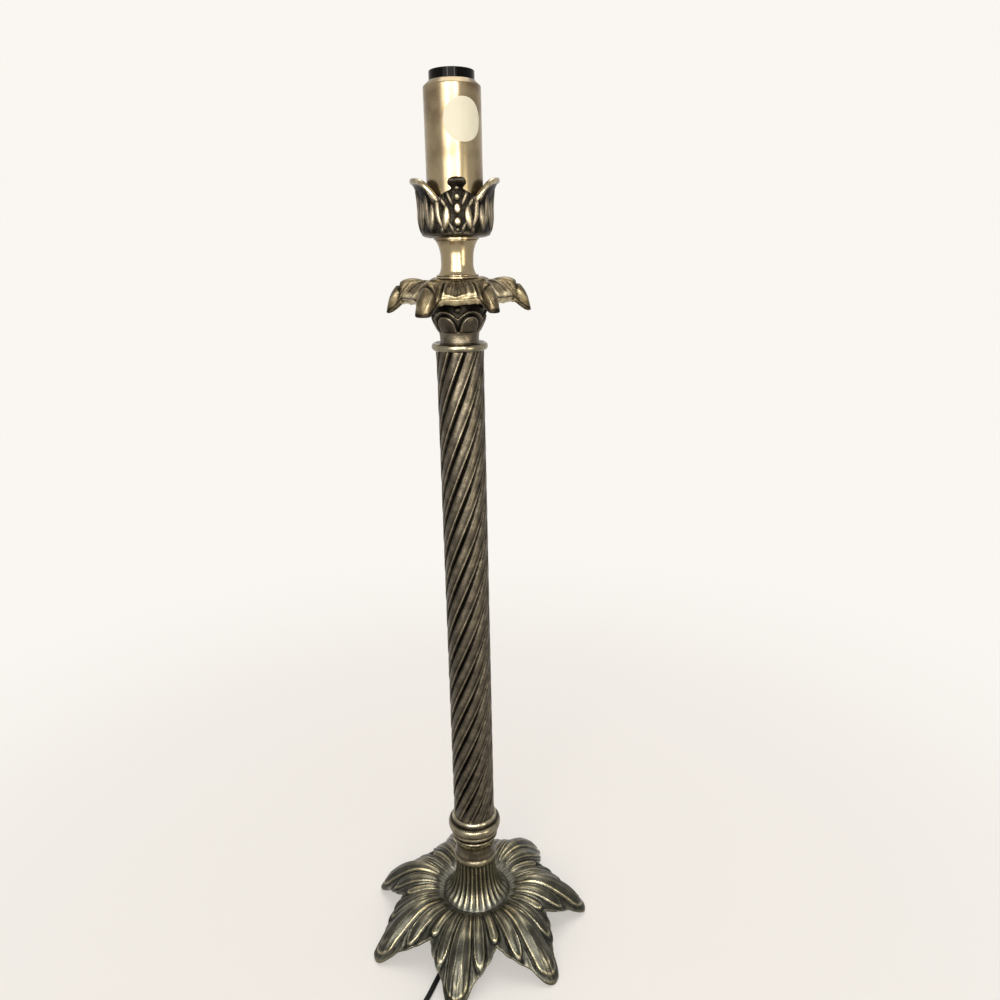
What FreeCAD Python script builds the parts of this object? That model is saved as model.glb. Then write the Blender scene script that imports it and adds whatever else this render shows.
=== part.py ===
"""A tall cast-brass candlestick table lamp with a twisted column, as separate pieces.

Millimetres, +Z up. The origin is on the lamp's axis, on the surface that it stands on, and
-Y is its front. Angles round the axis are measured from the front, towards +X.
"""
import FreeCAD
import Part
import math
import os
from FreeCAD import Placement, Rotation, Vector

# ---------------------------------------------------------------- clearances
SEAT_GAP = 0.3                 # between pieces that lie beside each other
PIN_GAP = 0.1                  # screws, rivets, cords and the rod in their holes
AXLE_GAP = 0.05                # a shaft that turns in its hole

# ---------------------------------------------------------------- cord, rod and nuts
CORD_R = 2.4
WIRE_R = 1.1                   # one insulated wire of the cord
BUSH_WALL = 0.5
BUSH_LIP = 1.35                # how far the bushing's flange passes the rod
BUSH_FLANGE = 3.0
BUSH_EDGE = 0.6
BUSH_SPIGOT_H = 6.0
ROD_WALL = 1.75
ROD_BELOW_NUT = 5.5
WASHER_THICK = 1.5
CUP_WASHER_R = 12.0
BASE_WASHER_R = 13.0
NUT_WALL = 3.0                 # from the rod's hole to a flat of the nut
NUT_H = 5.0

# ---------------------------------------------------------------- base
LEAF_COUNT = 7
LEAF_TURN = -360.0 / 56        # angle of the front leaf's tip
BASE_WALL = 3.0
WEB_TOP = 73.0                 # seat of the collar
WEB_THICK = 5.0
TRUMPET_R = 17.5
TRUMPET_FORM = ((0.5, 0.28), (2.4, 0.585), (6.8, 0.84))  # wider than its top by, share of its height
VALLEY_R = 30.7                # the trough between trumpet and leaves
VALLEY_Z = 33.7
# half of a leaf's rim from its tip to the notch: degrees off its middle, radius, height
LEAF_RIM = ((0.0, 105.5, 4.6), (2.6, 104.6, 5.0), (4.6, 101.6, 6.2), (6.6, 96.6, 9.6),
            (9.0, 90.0, 15.4), (12.0, 87.0, 18.6), (16.0, 82.0, 22.8), (20.8, 76.4, 27.4),
            (180.0 / LEAF_COUNT, 69.5, 32.0))
LEAF_RISE = 10.0               # arch along the middle of a leaf
NOTCH_RISE = 4.5               # arch between two leaves
LEAF_FALL = 3.0                # power of the fall towards the rim
LEAF_LEAN = 0.85               # power that brings the arch's top nearer to the trumpet
LEAF_STEPS = (0.1, 0.26, 0.42, 0.58, 0.74, 0.88, 1.0)
FOOT_THICK = 3.2               # extra metal under each tip
FOOT_ANGLE = 6.0               # half of a tip's thick part, degrees

# ---------------------------------------------------------------- collar, ring and column
COLLAR_R = 19.3
COLLAR_H = 23.0
COLLAR_FORM = ((-1.4, 0.0), (0.0, 0.1), (0.0, 0.28), (-0.9, 0.48), (-1.2, 0.7), (-0.2, 1.0))
COLLAR_WALL = 4.6
FLOOR_THICK = 4.0              # of the collar, ring and capital, where the rod passes
RING_R = 23.9
RING_H = 25.0
# the beads from below: radius under the ring's own, share of its height, half a bead's height
RING_BEADS = ((3.0, 0.105, 1.6), (2.1, 0.32, 2.1), (0.0, 0.6, 3.4))
RING_GROOVE = 1.4              # depth of the grooves between the beads
THROAT_FLARE = 0.6             # the lip that the column stands in
SPIGOT_H = 6.0
COLUMN_R = 18.4
COLUMN_WALL = 2.5              # under a flute's floor
COLUMN_H = 423.4
FLUTE_COUNT = 10
FLUTE_LEAD = 252.0             # rise of one whole turn
FLUTE_DEPTH = 1.7
RIDGE_SHARE = 0.78             # of a flute's pitch
RIDGE_CROWN = 1.0              # how far a ridge's rounded middle stands over its edges

# ---------------------------------------------------------------- head of the column
TOP_RING_R = 21.8
TOP_RING_H = 6.4
CAPITAL_R = 21.3
CAPITAL_H = 39.2
CAPITAL_WALL = 3.2
CAPITAL_SPIGOT_H = 12.0
CAPITAL_SPIGOT_WALL = 2.6
# outline from below: radius under the capital's own, share of its height
CAPITAL_FORM = ((5.8, 0.0), (6.1, 0.08), (5.9, 0.165), (4.3, 0.235), (2.3, 0.345), (0.5, 0.46),
                (0.0, 0.575), (0.8, 0.71), (3.8, 1.0))
BOBECHE_COUNT = 6
BOBECHE_TURN = 33.2
BOBECHE_HUB_R = 17.0
BOBECHE_HUB_H = 7.5
BOBECHE_WALL = 2.6
# half of a leaf's rim from its tip: degrees off its middle, radius, height over the hub's top
BOBECHE_RIM = ((0.0, 55.8, -23.0), (4.5, 55.0, -22.6), (8.0, 52.0, -20.6), (11.0, 47.5, -18.0),
               (15.0, 43.6, -15.8), (21.0, 41.0, -14.0), (180.0 / BOBECHE_COUNT, 40.0, -13.2))
BOBECHE_RISE = 1.5
BOBECHE_FALL = (7.0, 2.2)      # power of the fall along a leaf, and between two leaves
BOBECHE_STEPS = (0.2, 0.4, 0.58, 0.74, 0.87, 1.0)
SPOOL_R = 16.9
SPOOL_H = 29.5
# outline from below: radius under the spool's own, share of its height
SPOOL_FOOT = ((1.0, 0.0), (0.4, 0.04), (0.8, 0.09))
SPOOL_FORM = ((2.6, 0.115), (3.9, 0.2), (4.8, 0.37), (4.5, 0.59), (3.0, 0.8), (1.0, 0.93))
SPOOL_LIP = 1.4

# ---------------------------------------------------------------- lampholder
HOLDER_R = 16.3
HOLDER_H = 60.0
HOLDER_STANDS_OUT = 5.3        # above the sleeve
HOLDER_EDGE = 0.6              # bevel
HOLDER_FLOOR = 8.0
SHELL_R = 13.25                # inside of the E26 screw shell
SHELL_WALL = 0.4
SHELL_DEPTH = 3.7              # from the holder's mouth down to the shell
SHELL_L = 29.0
SHELL_FOOT = (11.0, 5.0)       # radius of its floor, height of the taper above it
SHELL_FLOOR_HOLE_R = 6.8
INSULATOR_THICK = 3.0
LEDGE = 1.5                    # step that carries the insulator
BOSS_R = 11.0
BOSS_H = 10.0
CONTACT_W = 5.0
CONTACT_THICK = 0.5
CONTACT_RIVET_Y = -4.5
SHELL_RIVET_Y = 9.5
RIVET_R = 1.2
CONTACT_FOOT = 3.4
CONTACT_REACH = 4.6            # how far the tab passes the axis
CONTACT_RISE = 3.2
CONTACT_NOSE = (2.6, 0.9)      # length and droop of its end
SCREW_R = 1.6
SCREW_HEAD_R = 3.6
SCREW_HEAD_H = 2.0
SCREW_Z = 14.0                 # terminal screws above the holder's lower face
SLOT_W = 0.8
SLOT_DEPTH = 0.8
STRAP_THICK = 0.8
STRAP_W = 5.0
BRACKET_W = 10.0
BRACKET_THICK = 1.5
BRACKET_HUB_WALL = 2.6
BRACKET_HUB_H = 8.0
BRACKET_LEG = 9.0              # how far a leg laps over the boss
BRACKET_RIVET_HEAD = (2.8, 1.0)
BRACKET_RIVET_IN = 4.0         # depth in the boss

# ---------------------------------------------------------------- sleeve and cup
HOLDER_ROOM = 3.55             # round the holder, for its screws and wires
SLEEVE_WALL = 0.8
SLEEVE_H = 103.4
SLEEVE_BEVEL_H = 5.2
SLEEVE_LIP = 1.3               # thickness of the bevel at the mouth
SLEEVE_CORNER = 0.5            # drop of the inner corner under the bevel
STICKER_R = 14.5
STICKER_THICK = 0.2
STICKER_TURN = 27.0
STICKER_DROP = 28.4            # from the sleeve's top to its middle
CUP_TURN = 3.2
CUP_ROOM = 3.45                # round the sleeve
CUP_WALL = 3.8
CUP_FLOOR = 3.0
CUP_H = 41.5                   # to the tips of the lobes
CUP_DIP_H = 26.4               # to the rim between two lobes
CUP_SCOOP_R = 12.0             # of the hollows between the lobes
CUP_SCOOP_TURN = 30.0          # on each side of the narrow front and back lobes
# outline from below: radius over the cup's own, share of its height
CUP_FORM = ((-3.4, 0.03), (-0.9, 0.11), (0.0, 0.24), (-0.1, 0.41), (0.6, 0.62), (2.1, 0.77), (5.7, 1.0))

# ---------------------------------------------------------------- coil, switch and plug
COIL_GAP = 0.5                 # between turns
COIL_MEAN_R = 28.6
COIL_LAYERS = 2
COIL_TURNS = 4.0 + 1.0 / 12.0  # in one layer
COIL_CENTRE = (8.0, -170.4)
COIL_START = -90.0             # degrees from +X
TIE_THICK = 0.6
TIE_W = 8.0
TIE_TURN = 40.0
END_RUN = 10.0                 # cord between coil and plug
SWITCH_L = 55.0
SWITCH_W = 22.0
SWITCH_H = 14.0
SWITCH_WALL = 1.6
SWITCH_END = 8.0               # solid ends that hold the cord
SWITCH_ROUND = 5.0
SWITCH_EDGE = 1.5
SWITCH_CORD_IN = 12.0
SWITCH_SCREW_AT = (-14.5, -6.2)
SWITCH_POST_R = 3.1
SWITCH_SCREW_HEAD = (2.6, 1.6)
WHEEL_R = 10.5
WHEEL_H = 5.0
WHEEL_OFFSET = 4.5
WHEEL_ROOM = 0.4
WHEEL_NOTCHES = 24
WHEEL_NOTCH_R = 0.55
AXLE_R = 1.5
BOSS_WALL = 1.6
PLUG_L = 26.0
PLUG_W = 24.0
PLUG_ROUND = 5.0
PLUG_EDGE = 2.0
RELIEF_L = 20.0
RELIEF_R = (2.9, 5.2)
BLADE_L = 17.5
BLADE_W = 6.35
BLADE_THICK = 1.5
BLADE_PITCH = 12.7
BLADE_ROOT = 8.0               # inside the plug
BLADE_TIP = 1.4

# the cord's route, chosen by hand: from the bushing to the switch, and on to the coil
FLOOR_Z = CORD_R + 0.1
SWITCH_ENTRY = (-40.0, -115.0)
SWITCH_HEADING = -100.7        # degrees from +X
LEAD_ROUTE = ((0.0, 0.0, 38.0), (-4.2, -9.5, 20.5), (-11.0, -24.5, 8.0), (-18.0, -40.5, 2.9),
              (-24.2, -57.0, FLOOR_Z), (-29.8, -74.0, FLOOR_Z), (-34.6, -91.0, 3.2), (-38.24, -105.67, 7.0))
TAIL_ROUTE = ((-52.35, -180.4, 7.0), (-49.4, -193.2, 5.3), (-41.1, -203.6, 4.0), (-29.0, -208.8, 3.5),
              (-14.6, -209.7, 3.3))
# the two wires where the cord has split: off the axis, share of the way up to the holder's boss
WIRE_ROUTE = ((1.16, 0.0), (1.5, 0.3), (5.0, 0.58), (13.2, 0.88))
WIRE_TURN = 3.0                # below the holder, where they turn upright beside it
ROUNDING = 0.45                # share of the shorter run that each end of an arc takes

# ---------------------------------------------------------------- sizes and heights that follow
ROD_BORE_R = CORD_R + PIN_GAP + BUSH_WALL + PIN_GAP
ROD_R = ROD_BORE_R + ROD_WALL
ROD_HOLE_R = ROD_R + SEAT_GAP
TAPPED_R = ROD_R + PIN_GAP
COLUMN_BORE_R = COLUMN_R - FLUTE_DEPTH - COLUMN_WALL
SPIGOT_R = COLUMN_BORE_R - SEAT_GAP
SLEEVE_BORE_R = HOLDER_R + HOLDER_ROOM
SLEEVE_R = SLEEVE_BORE_R + SLEEVE_WALL
CUP_R = SLEEVE_R + CUP_ROOM + CUP_WALL
INSULATOR_R = SHELL_R + SHELL_WALL
HOLDER_BORE_R = INSULATOR_R + SEAT_GAP
HOLDER_ROOM_R = HOLDER_BORE_R - LEDGE

WEB_BOTTOM = WEB_TOP - WEB_THICK
BASE_WASHER_BOTTOM = WEB_BOTTOM - WASHER_THICK
BASE_NUT_BOTTOM = BASE_WASHER_BOTTOM - NUT_H
ROD_BOTTOM = BASE_NUT_BOTTOM - ROD_BELOW_NUT
CORD_EXIT_Z = ROD_BOTTOM - BUSH_FLANGE
COLLAR_TOP = WEB_TOP + COLLAR_H
COLUMN_BOTTOM = COLLAR_TOP + RING_H
COLUMN_TOP = COLUMN_BOTTOM + COLUMN_H
CAPITAL_BOTTOM = COLUMN_TOP + TOP_RING_H
CAPITAL_TOP = CAPITAL_BOTTOM + CAPITAL_H
BOBECHE_TOP = CAPITAL_TOP + BOBECHE_HUB_H
CUP_BOTTOM = BOBECHE_TOP + SPOOL_H
CUP_SEAT = CUP_BOTTOM + CUP_FLOOR
SLEEVE_TOP = CUP_SEAT + SLEEVE_H
HOLDER_TOP = SLEEVE_TOP + HOLDER_STANDS_OUT
HOLDER_BOTTOM = HOLDER_TOP - HOLDER_H
BOSS_BOTTOM = HOLDER_BOTTOM - BOSS_H
SCREW_HEIGHT = HOLDER_BOTTOM + SCREW_Z
BOSS_RIVET_Z = HOLDER_BOTTOM - BOSS_H / 2
SHELL_TOP = HOLDER_TOP - SHELL_DEPTH
SHELL_BOTTOM = SHELL_TOP - SHELL_L
LEDGE_Z = SHELL_BOTTOM - INSULATOR_THICK
STRAP_Z = LEDGE_Z - STRAP_THICK
CUP_NUT_BOTTOM = CUP_SEAT + WASHER_THICK
BRACKET_BOTTOM = CUP_NUT_BOTTOM + NUT_H
ROD_TOP = BRACKET_BOTTOM + BRACKET_HUB_H
CORD_SPLIT_Z = ROD_TOP + 2 * CORD_R

COIL_PITCH = 2 * CORD_R + COIL_GAP
COIL_OUTER_R = COIL_MEAN_R + COIL_TURNS * COIL_PITCH / 2
COIL_Z = TIE_THICK + SEAT_GAP + CORD_R
COIL_TOTAL = COIL_LAYERS * COIL_TURNS
PLUG_Z = COIL_Z + (COIL_LAYERS - 1) * COIL_PITCH
SWITCH_MID = SWITCH_H / 2
MARGIN = 1.0                   # how far a cutting tool passes the face that it cuts
SAME = 1e-6                    # two lengths that differ by less are equal
COIL_STEP = 1.5                # between the points on which the coil's gap is measured
TURN_STEP = 1e-3               # of a turn, on each side of a point whose heading is taken


# ---------------------------------------------------------------- helpers
def polar(radius, degrees, z=0.0):
    """A point at a radius and an angle from the front, turning towards +X."""
    a = math.radians(degrees)
    return Vector(radius * math.sin(a), -radius * math.cos(a), z)


def spline(points):
    curve = Part.BSplineCurve()
    curve.interpolate(points)
    return curve.toShape()


def outline(points):
    """Lines through (radius, height) points. A point with a third item is the middle of an arc."""
    edges, i = [], 0
    places = [Vector(p[0], 0, p[1]) for p in points]
    while i < len(points) - 1:
        if len(points[i + 1]) == 3:
            edges.append(Part.Arc(places[i], places[i + 1], places[i + 2]).toShape())
            i += 2
        else:
            edges.append(Part.makeLine(places[i], places[i + 1]))
            i += 1
    return edges


def spun(edges):
    """A solid of revolution about Z from a closed outline."""
    return Part.Face(Part.Wire(edges)).revolve(Vector(0, 0, 0), Vector(0, 0, 1), 360)


def turned(points):
    return spun(outline(list(points) + [points[0]]))


def turned_smooth(smooth, rest):
    """A turned solid: one smooth curve through the first points, and straight lines through the rest."""
    curve = spline([Vector(r, 0, z) for r, z in smooth])
    return spun([curve] + outline([smooth[-1]] + list(rest) + [smooth[0]]))


def ring(inner, outer, low, high):
    return turned(((inner, low), (outer, low), (outer, high), (inner, high)))


def formed(form, radius, low, height, sign=-1):
    """Points of an outline from (radius difference, share of the height) pairs."""
    return [(radius + sign * dr, low + share * height) for dr, share in form]


def box(x, y, z):
    """A box from its lowest and highest x, y and z."""
    return Part.makeBox(x[1] - x[0], y[1] - y[0], z[1] - z[0], Vector(x[0], y[0], z[0]))


def pin(radius, start, along, length):
    return Part.makeCylinder(radius, length, Vector(*start), Vector(*along))


def around(shape, count):
    """Copies of a sector turned about Z and joined into one solid."""
    copies = []
    for i in range(count):
        copy = shape.copy()
        copy.rotate(Vector(0, 0, 0), Vector(0, 0, 1), i * 360.0 / count)
        copies.append(copy)
    return copies[0].fuse(copies[1:])


def both_sides(shape):
    """A group of a solid and its mirror image across the XZ plane."""
    return Part.makeCompound([shape, shape.mirror(Vector(0, 0, 0), Vector(0, 1, 0))])


def nut(low):
    corner = (TAPPED_R + NUT_WALL) / math.cos(math.pi / 6)
    flats = Part.makePolygon([polar(corner, 60 * i, low) for i in range(7)])
    return Part.Face(flats).extrude(Vector(0, 0, NUT_H)).cut(pin(TAPPED_R, (0, 0, low), (0, 0, 1), NUT_H))


def whole_rim(half):
    """Half a rim, given from the tip outwards, as a whole rim from notch to notch."""
    return [(-d, r, z) for d, r, z in half[:0:-1]] + list(half)


def under(points, wall):
    """Points a wall's thickness under a row of (radius, height) points."""
    out = []
    for i, (r, z) in enumerate(points):
        a, b = points[max(i - 1, 0)], points[min(i + 1, len(points) - 1)]
        dr, dz = b[0] - a[0], b[1] - a[1]
        size = math.hypot(dr, dz)
        out.append((r + wall * dz / size, z - wall * dr / size))
    return out


def shell_sector(profiles):
    """One leaf: a loft through (degrees, upper points, lower points), each lying in a plane of the axis."""
    wires = []
    for degrees, upper, lower in profiles:
        top = [polar(r, degrees, z) for r, z in upper]
        low = [polar(r, degrees, z) for r, z in lower]
        ends = [Part.makeLine(top[-1], low[-1]), Part.makeLine(low[0], top[0])]
        wires.append(Part.Wire([spline(top), ends[0], spline(low[::-1]), ends[1]]))
    return Part.makeLoft(wires, True, True)


# ---------------------------------------------------------------- base
def base_casting():
    trumpet = formed(TRUMPET_FORM, TRUMPET_R, WEB_TOP, VALLEY_Z - WEB_TOP, 1)
    trumpet = [(TRUMPET_R, WEB_TOP)] + trumpet + [(VALLEY_R, VALLEY_Z)]
    profiles = []
    for degrees, rim_r, rim_z in whole_rim(LEAF_RIM):
        share = abs(degrees) / LEAF_RIM[-1][0]
        rise = NOTCH_RISE + (LEAF_RISE - NOTCH_RISE) * (1 + math.cos(math.pi * share)) / 2
        upper = list(trumpet)
        for t in LEAF_STEPS:
            z = VALLEY_Z + (rim_z - VALLEY_Z) * t ** LEAF_FALL + rise * math.sin(math.pi * t ** LEAF_LEAN)
            upper.append((VALLEY_R + t * (rim_r - VALLEY_R), z))
        lower = under(upper, BASE_WALL)
        lower[0] = (TRUMPET_R - BASE_WALL, WEB_BOTTOM)
        foot = FOOT_THICK * max(0.0, 1 - abs(degrees) / FOOT_ANGLE)
        lower[-2] = (lower[-2][0], lower[-2][1] - foot)
        lower[-1] = (rim_r - BASE_WALL / 2, rim_z - BASE_WALL - foot)
        profiles.append((LEAF_TURN + degrees, upper, lower))
    reach = LEAF_RIM[0][1] + MARGIN
    ground = box((-reach, reach), (-reach, reach), (-reach, 0.0))
    web = ring(ROD_HOLE_R, TRUMPET_R - BASE_WALL / 2, WEB_BOTTOM, WEB_TOP)
    return around(shell_sector(profiles), LEAF_COUNT).fuse(web).cut(ground)


def base_collar():
    bore = COLLAR_R - COLLAR_WALL
    floor = WEB_TOP + FLOOR_THICK
    inner = ((bore, COLLAR_TOP), (bore, floor), (ROD_HOLE_R, floor), (ROD_HOLE_R, WEB_TOP))
    return turned_smooth(formed(COLLAR_FORM, COLLAR_R, WEB_TOP, COLLAR_H, 1), inner)


def base_ring():
    """Stacked beads under the column, with a spigot inside it."""
    throat = COLUMN_R + THROAT_FLARE
    bore = COLLAR_R - COLLAR_WALL
    floor = COLUMN_BOTTOM - FLOOR_THICK
    points = [(COLLAR_R + COLLAR_FORM[-1][0], COLLAR_TOP)]
    for smaller, share, half in RING_BEADS:
        radius, z = RING_R - smaller, COLLAR_TOP + share * RING_H
        groove = radius - RING_GROOVE
        points += [(groove, z - half), (radius, z, "arc"), (groove, z + half)]
    points += [(throat, COLUMN_BOTTOM), (SPIGOT_R, COLUMN_BOTTOM), (SPIGOT_R, COLUMN_BOTTOM + SPIGOT_H),
               (ROD_HOLE_R, COLUMN_BOTTOM + SPIGOT_H), (ROD_HOLE_R, floor), (bore, floor), (bore, COLLAR_TOP)]
    return turned(points)


def flute_outline():
    """Rounded ridges and narrow flutes round the column's cross-section."""
    pitch = 360.0 / FLUTE_COUNT
    half = pitch * RIDGE_SHARE / 2
    edges = []
    for i in range(FLUTE_COUNT):
        a = i * pitch
        start, end, following = [polar(COLUMN_R - RIDGE_CROWN, a + off) for off in (-half, half, pitch - half)]
        edges.append(Part.Arc(start, polar(COLUMN_R, a), end).toShape())
        edges.append(Part.Arc(end, polar(COLUMN_R - FLUTE_DEPTH, a + pitch / 2), following).toShape())
    return Part.Wire(edges)


def twisted_column():
    path = Part.Wire([Part.makeLine(Vector(0, 0, 0), Vector(0, 0, COLUMN_H))])
    helix = Part.makeHelix(FLUTE_LEAD, COLUMN_H, COLUMN_R)
    sweep = Part.BRepOffsetAPI.MakePipeShell(path)
    sweep.setAuxiliarySpine(Part.Wire(helix.Edges), True, 0)
    sweep.add(flute_outline())
    sweep.build()
    sweep.makeSolid()
    shape = sweep.shape().cut(pin(COLUMN_BORE_R, (0, 0, 0), (0, 0, 1), COLUMN_H))
    shape.translate(Vector(0, 0, COLUMN_BOTTOM))
    return shape


# ---------------------------------------------------------------- head of the column
def column_ring():
    half = TOP_RING_H / 2
    flat = TOP_RING_R - half
    return turned(((flat, COLUMN_TOP), (TOP_RING_R, COLUMN_TOP + half, "arc"), (flat, CAPITAL_BOTTOM),
                   (COLUMN_BORE_R, CAPITAL_BOTTOM), (COLUMN_BORE_R, COLUMN_TOP)))


def capital():
    bore = SPIGOT_R - CAPITAL_SPIGOT_WALL
    roof = CAPITAL_TOP - FLOOR_THICK
    low = CAPITAL_BOTTOM - CAPITAL_SPIGOT_H
    inner = ((ROD_HOLE_R, CAPITAL_TOP), (ROD_HOLE_R, roof), (bore, roof - CAPITAL_WALL), (bore, low),
             (SPIGOT_R, low), (SPIGOT_R, CAPITAL_BOTTOM))
    return turned_smooth(formed(CAPITAL_FORM, CAPITAL_R, CAPITAL_BOTTOM, CAPITAL_H), inner)


def bobeche():
    """The six drooping leaves, with the hub that stands on the capital."""
    profiles = []
    for degrees, rim_r, rim_z in whole_rim(BOBECHE_RIM):
        share = abs(degrees) / BOBECHE_RIM[-1][0]
        fall = BOBECHE_FALL[0] + (BOBECHE_FALL[1] - BOBECHE_FALL[0]) * share
        upper = [(BOBECHE_HUB_R, BOBECHE_TOP)]
        for t in BOBECHE_STEPS:
            z = BOBECHE_TOP + rim_z * t ** fall + BOBECHE_RISE * (1 - share) * math.sin(math.pi * t)
            upper.append((BOBECHE_HUB_R + t * (rim_r - BOBECHE_HUB_R), z))
        lower = under(upper, BOBECHE_WALL)
        lower[0] = (BOBECHE_HUB_R, BOBECHE_TOP - BOBECHE_WALL)
        profiles.append((BOBECHE_TURN + degrees, upper, lower))
    hub = ring(ROD_HOLE_R, BOBECHE_HUB_R + SEAT_GAP, CAPITAL_TOP, BOBECHE_TOP)
    return around(shell_sector(profiles), BOBECHE_COUNT).fuse(hub)


def neck_spool():
    foot = formed(SPOOL_FOOT, SPOOL_R, BOBECHE_TOP, SPOOL_H)
    smooth = formed(SPOOL_FORM, SPOOL_R, BOBECHE_TOP, SPOOL_H)
    rest = [(SPOOL_R, CUP_BOTTOM - SPOOL_LIP), (SPOOL_R, CUP_BOTTOM), (ROD_HOLE_R, CUP_BOTTOM),
            (ROD_HOLE_R, BOBECHE_TOP)] + foot
    return turned_smooth(smooth, rest)


# ---------------------------------------------------------------- cup and sleeve
def candle_cup():
    """A turned cup whose flared rim is scooped out into lobes."""
    outer = [Vector(r, 0, z) for r, z in formed(CUP_FORM, CUP_R, CUP_BOTTOM, CUP_H, 1)]
    inner = [p - Vector(CUP_WALL, 0, 0) for p in outer[1:]]
    floor = [(inner[0].x, inner[0].z), (inner[0].x - CUP_FLOOR, CUP_SEAT), (ROD_HOLE_R, CUP_SEAT),
             (ROD_HOLE_R, CUP_BOTTOM), (SPOOL_R, CUP_BOTTOM), (outer[0].x, outer[0].z)]
    edges = [spline(outer), Part.makeLine(outer[-1], inner[-1]), spline(inner[::-1])] + outline(floor)
    height = CUP_BOTTOM + CUP_DIP_H + CUP_SCOOP_R
    scoops = []
    for turn in (CUP_SCOOP_TURN, -CUP_SCOOP_TURN, 180.0 + CUP_SCOOP_TURN, 180.0 - CUP_SCOOP_TURN):
        scoops.append(pin(CUP_SCOOP_R, (0, 0, height), polar(1.0, CUP_TURN + turn), 2 * CUP_R))
    return spun(edges).cut(scoops)


def candle_sleeve():
    """A tube that stands in the cup, bevelled in to the lampholder at its upper end."""
    shoulder = SLEEVE_TOP - SLEEVE_BEVEL_H
    mouth = HOLDER_R + SEAT_GAP
    return turned(((SLEEVE_BORE_R, CUP_SEAT), (SLEEVE_R, CUP_SEAT), (SLEEVE_R, shoulder), (mouth, SLEEVE_TOP),
                   (mouth, SLEEVE_TOP - SLEEVE_LIP), (SLEEVE_BORE_R, shoulder - SLEEVE_CORNER)))


def sleeve_sticker():
    """A round paper disc bent round the sleeve."""
    skin = ring(SLEEVE_R, SLEEVE_R + STICKER_THICK, CUP_SEAT, SLEEVE_TOP)
    punch = pin(STICKER_R, (0, 0, SLEEVE_TOP - STICKER_DROP), polar(1.0, STICKER_TURN), 2 * SLEEVE_R)
    return skin.common(punch)


# ---------------------------------------------------------------- lampholder
def holder_body():
    floor = HOLDER_BOTTOM + HOLDER_FLOOR
    body = turned(((0.0, BOSS_BOTTOM), (BOSS_R, BOSS_BOTTOM), (BOSS_R, HOLDER_BOTTOM),
                   (HOLDER_R - HOLDER_EDGE, HOLDER_BOTTOM), (HOLDER_R, HOLDER_BOTTOM + HOLDER_EDGE),
                   (HOLDER_R, HOLDER_TOP - HOLDER_EDGE), (HOLDER_R - HOLDER_EDGE, HOLDER_TOP),
                   (HOLDER_BORE_R, HOLDER_TOP), (HOLDER_BORE_R, LEDGE_Z), (HOLDER_ROOM_R, LEDGE_Z),
                   (HOLDER_ROOM_R, floor), (0.0, floor)))
    for side in (-1, 1):
        screw = pin(SCREW_R + PIN_GAP, (0, 0, SCREW_HEIGHT), (0, side, 0), HOLDER_R + MARGIN)
        rivet = pin(SCREW_R + PIN_GAP, (side * (BOSS_R - BRACKET_RIVET_IN), 0, BOSS_RIVET_Z), (side, 0, 0),
                    BRACKET_RIVET_IN + MARGIN)
        body = body.cut([screw, rivet])
    return body


def screw_shell():
    outer = SHELL_R + SHELL_WALL
    floor = SHELL_BOTTOM + SHELL_WALL
    foot_r, taper = SHELL_FOOT
    shoulder = SHELL_BOTTOM + taper
    return turned(((SHELL_FLOOR_HOLE_R, SHELL_BOTTOM), (foot_r + SHELL_WALL, SHELL_BOTTOM), (outer, shoulder),
                   (outer, SHELL_TOP), (SHELL_R, SHELL_TOP), (SHELL_R, shoulder), (foot_r, floor),
                   (SHELL_FLOOR_HOLE_R, floor)))


def holder_insulator():
    disc = pin(INSULATOR_R, (0, 0, LEDGE_Z), (0, 0, 1), INSULATOR_THICK)
    holes = [pin(RIVET_R + PIN_GAP, (0, y, LEDGE_Z), (0, 0, 1), INSULATOR_THICK)
             for y in (CONTACT_RIVET_Y, SHELL_RIVET_Y)]
    return disc.cut(holes)


def contact_rivets():
    return Part.makeCompound([pin(RIVET_R, (0, y, STRAP_Z), (0, 0, 1), SHELL_BOTTOM - STRAP_Z)
                              for y in (CONTACT_RIVET_Y, SHELL_RIVET_Y)])


def contact_straps():
    """Two strips from the terminal screws to the rivets under the insulator."""
    outside = HOLDER_ROOM_R - SEAT_GAP - STRAP_THICK
    half = STRAP_W / 2
    straps = []
    for side, rivet_y in ((-1, -CONTACT_RIVET_Y), (1, SHELL_RIVET_Y)):
        upright = box((-half, half), (outside - STRAP_THICK, outside), (SCREW_HEIGHT - half, LEDGE_Z))
        tongue = box((-half, half), (rivet_y - half, outside), (STRAP_Z, LEDGE_Z))
        hole = pin(SCREW_R + PIN_GAP, (0, outside - half, SCREW_HEIGHT), (0, 1, 0), STRAP_W)
        rivet = pin(RIVET_R + PIN_GAP, (0, rivet_y, STRAP_Z), (0, 0, 1), STRAP_THICK)
        strap = upright.fuse(tongue).cut([hole, rivet])
        straps.append(strap.mirror(Vector(0, 0, 0), Vector(0, 1, 0)) if side < 0 else strap)
    return Part.makeCompound(straps)


def centre_contact():
    """A bent spring tab that lies over its rivet and rises to the axis."""
    low = SHELL_BOTTOM + AXLE_GAP
    start = CONTACT_RIVET_Y - RIVET_R
    nose, droop = CONTACT_NOSE
    lower = [(start, low), (start + CONTACT_FOOT, low), (CONTACT_REACH - nose, low + CONTACT_RISE),
             (CONTACT_REACH, low + CONTACT_RISE - droop)]
    upper = [(y, z + CONTACT_THICK) for y, z in lower]
    side = [Vector(-CONTACT_W / 2, y, z) for y, z in lower + upper[::-1] + lower[:1]]
    return Part.Face(Part.makePolygon(side)).extrude(Vector(CONTACT_W, 0, 0))


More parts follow.
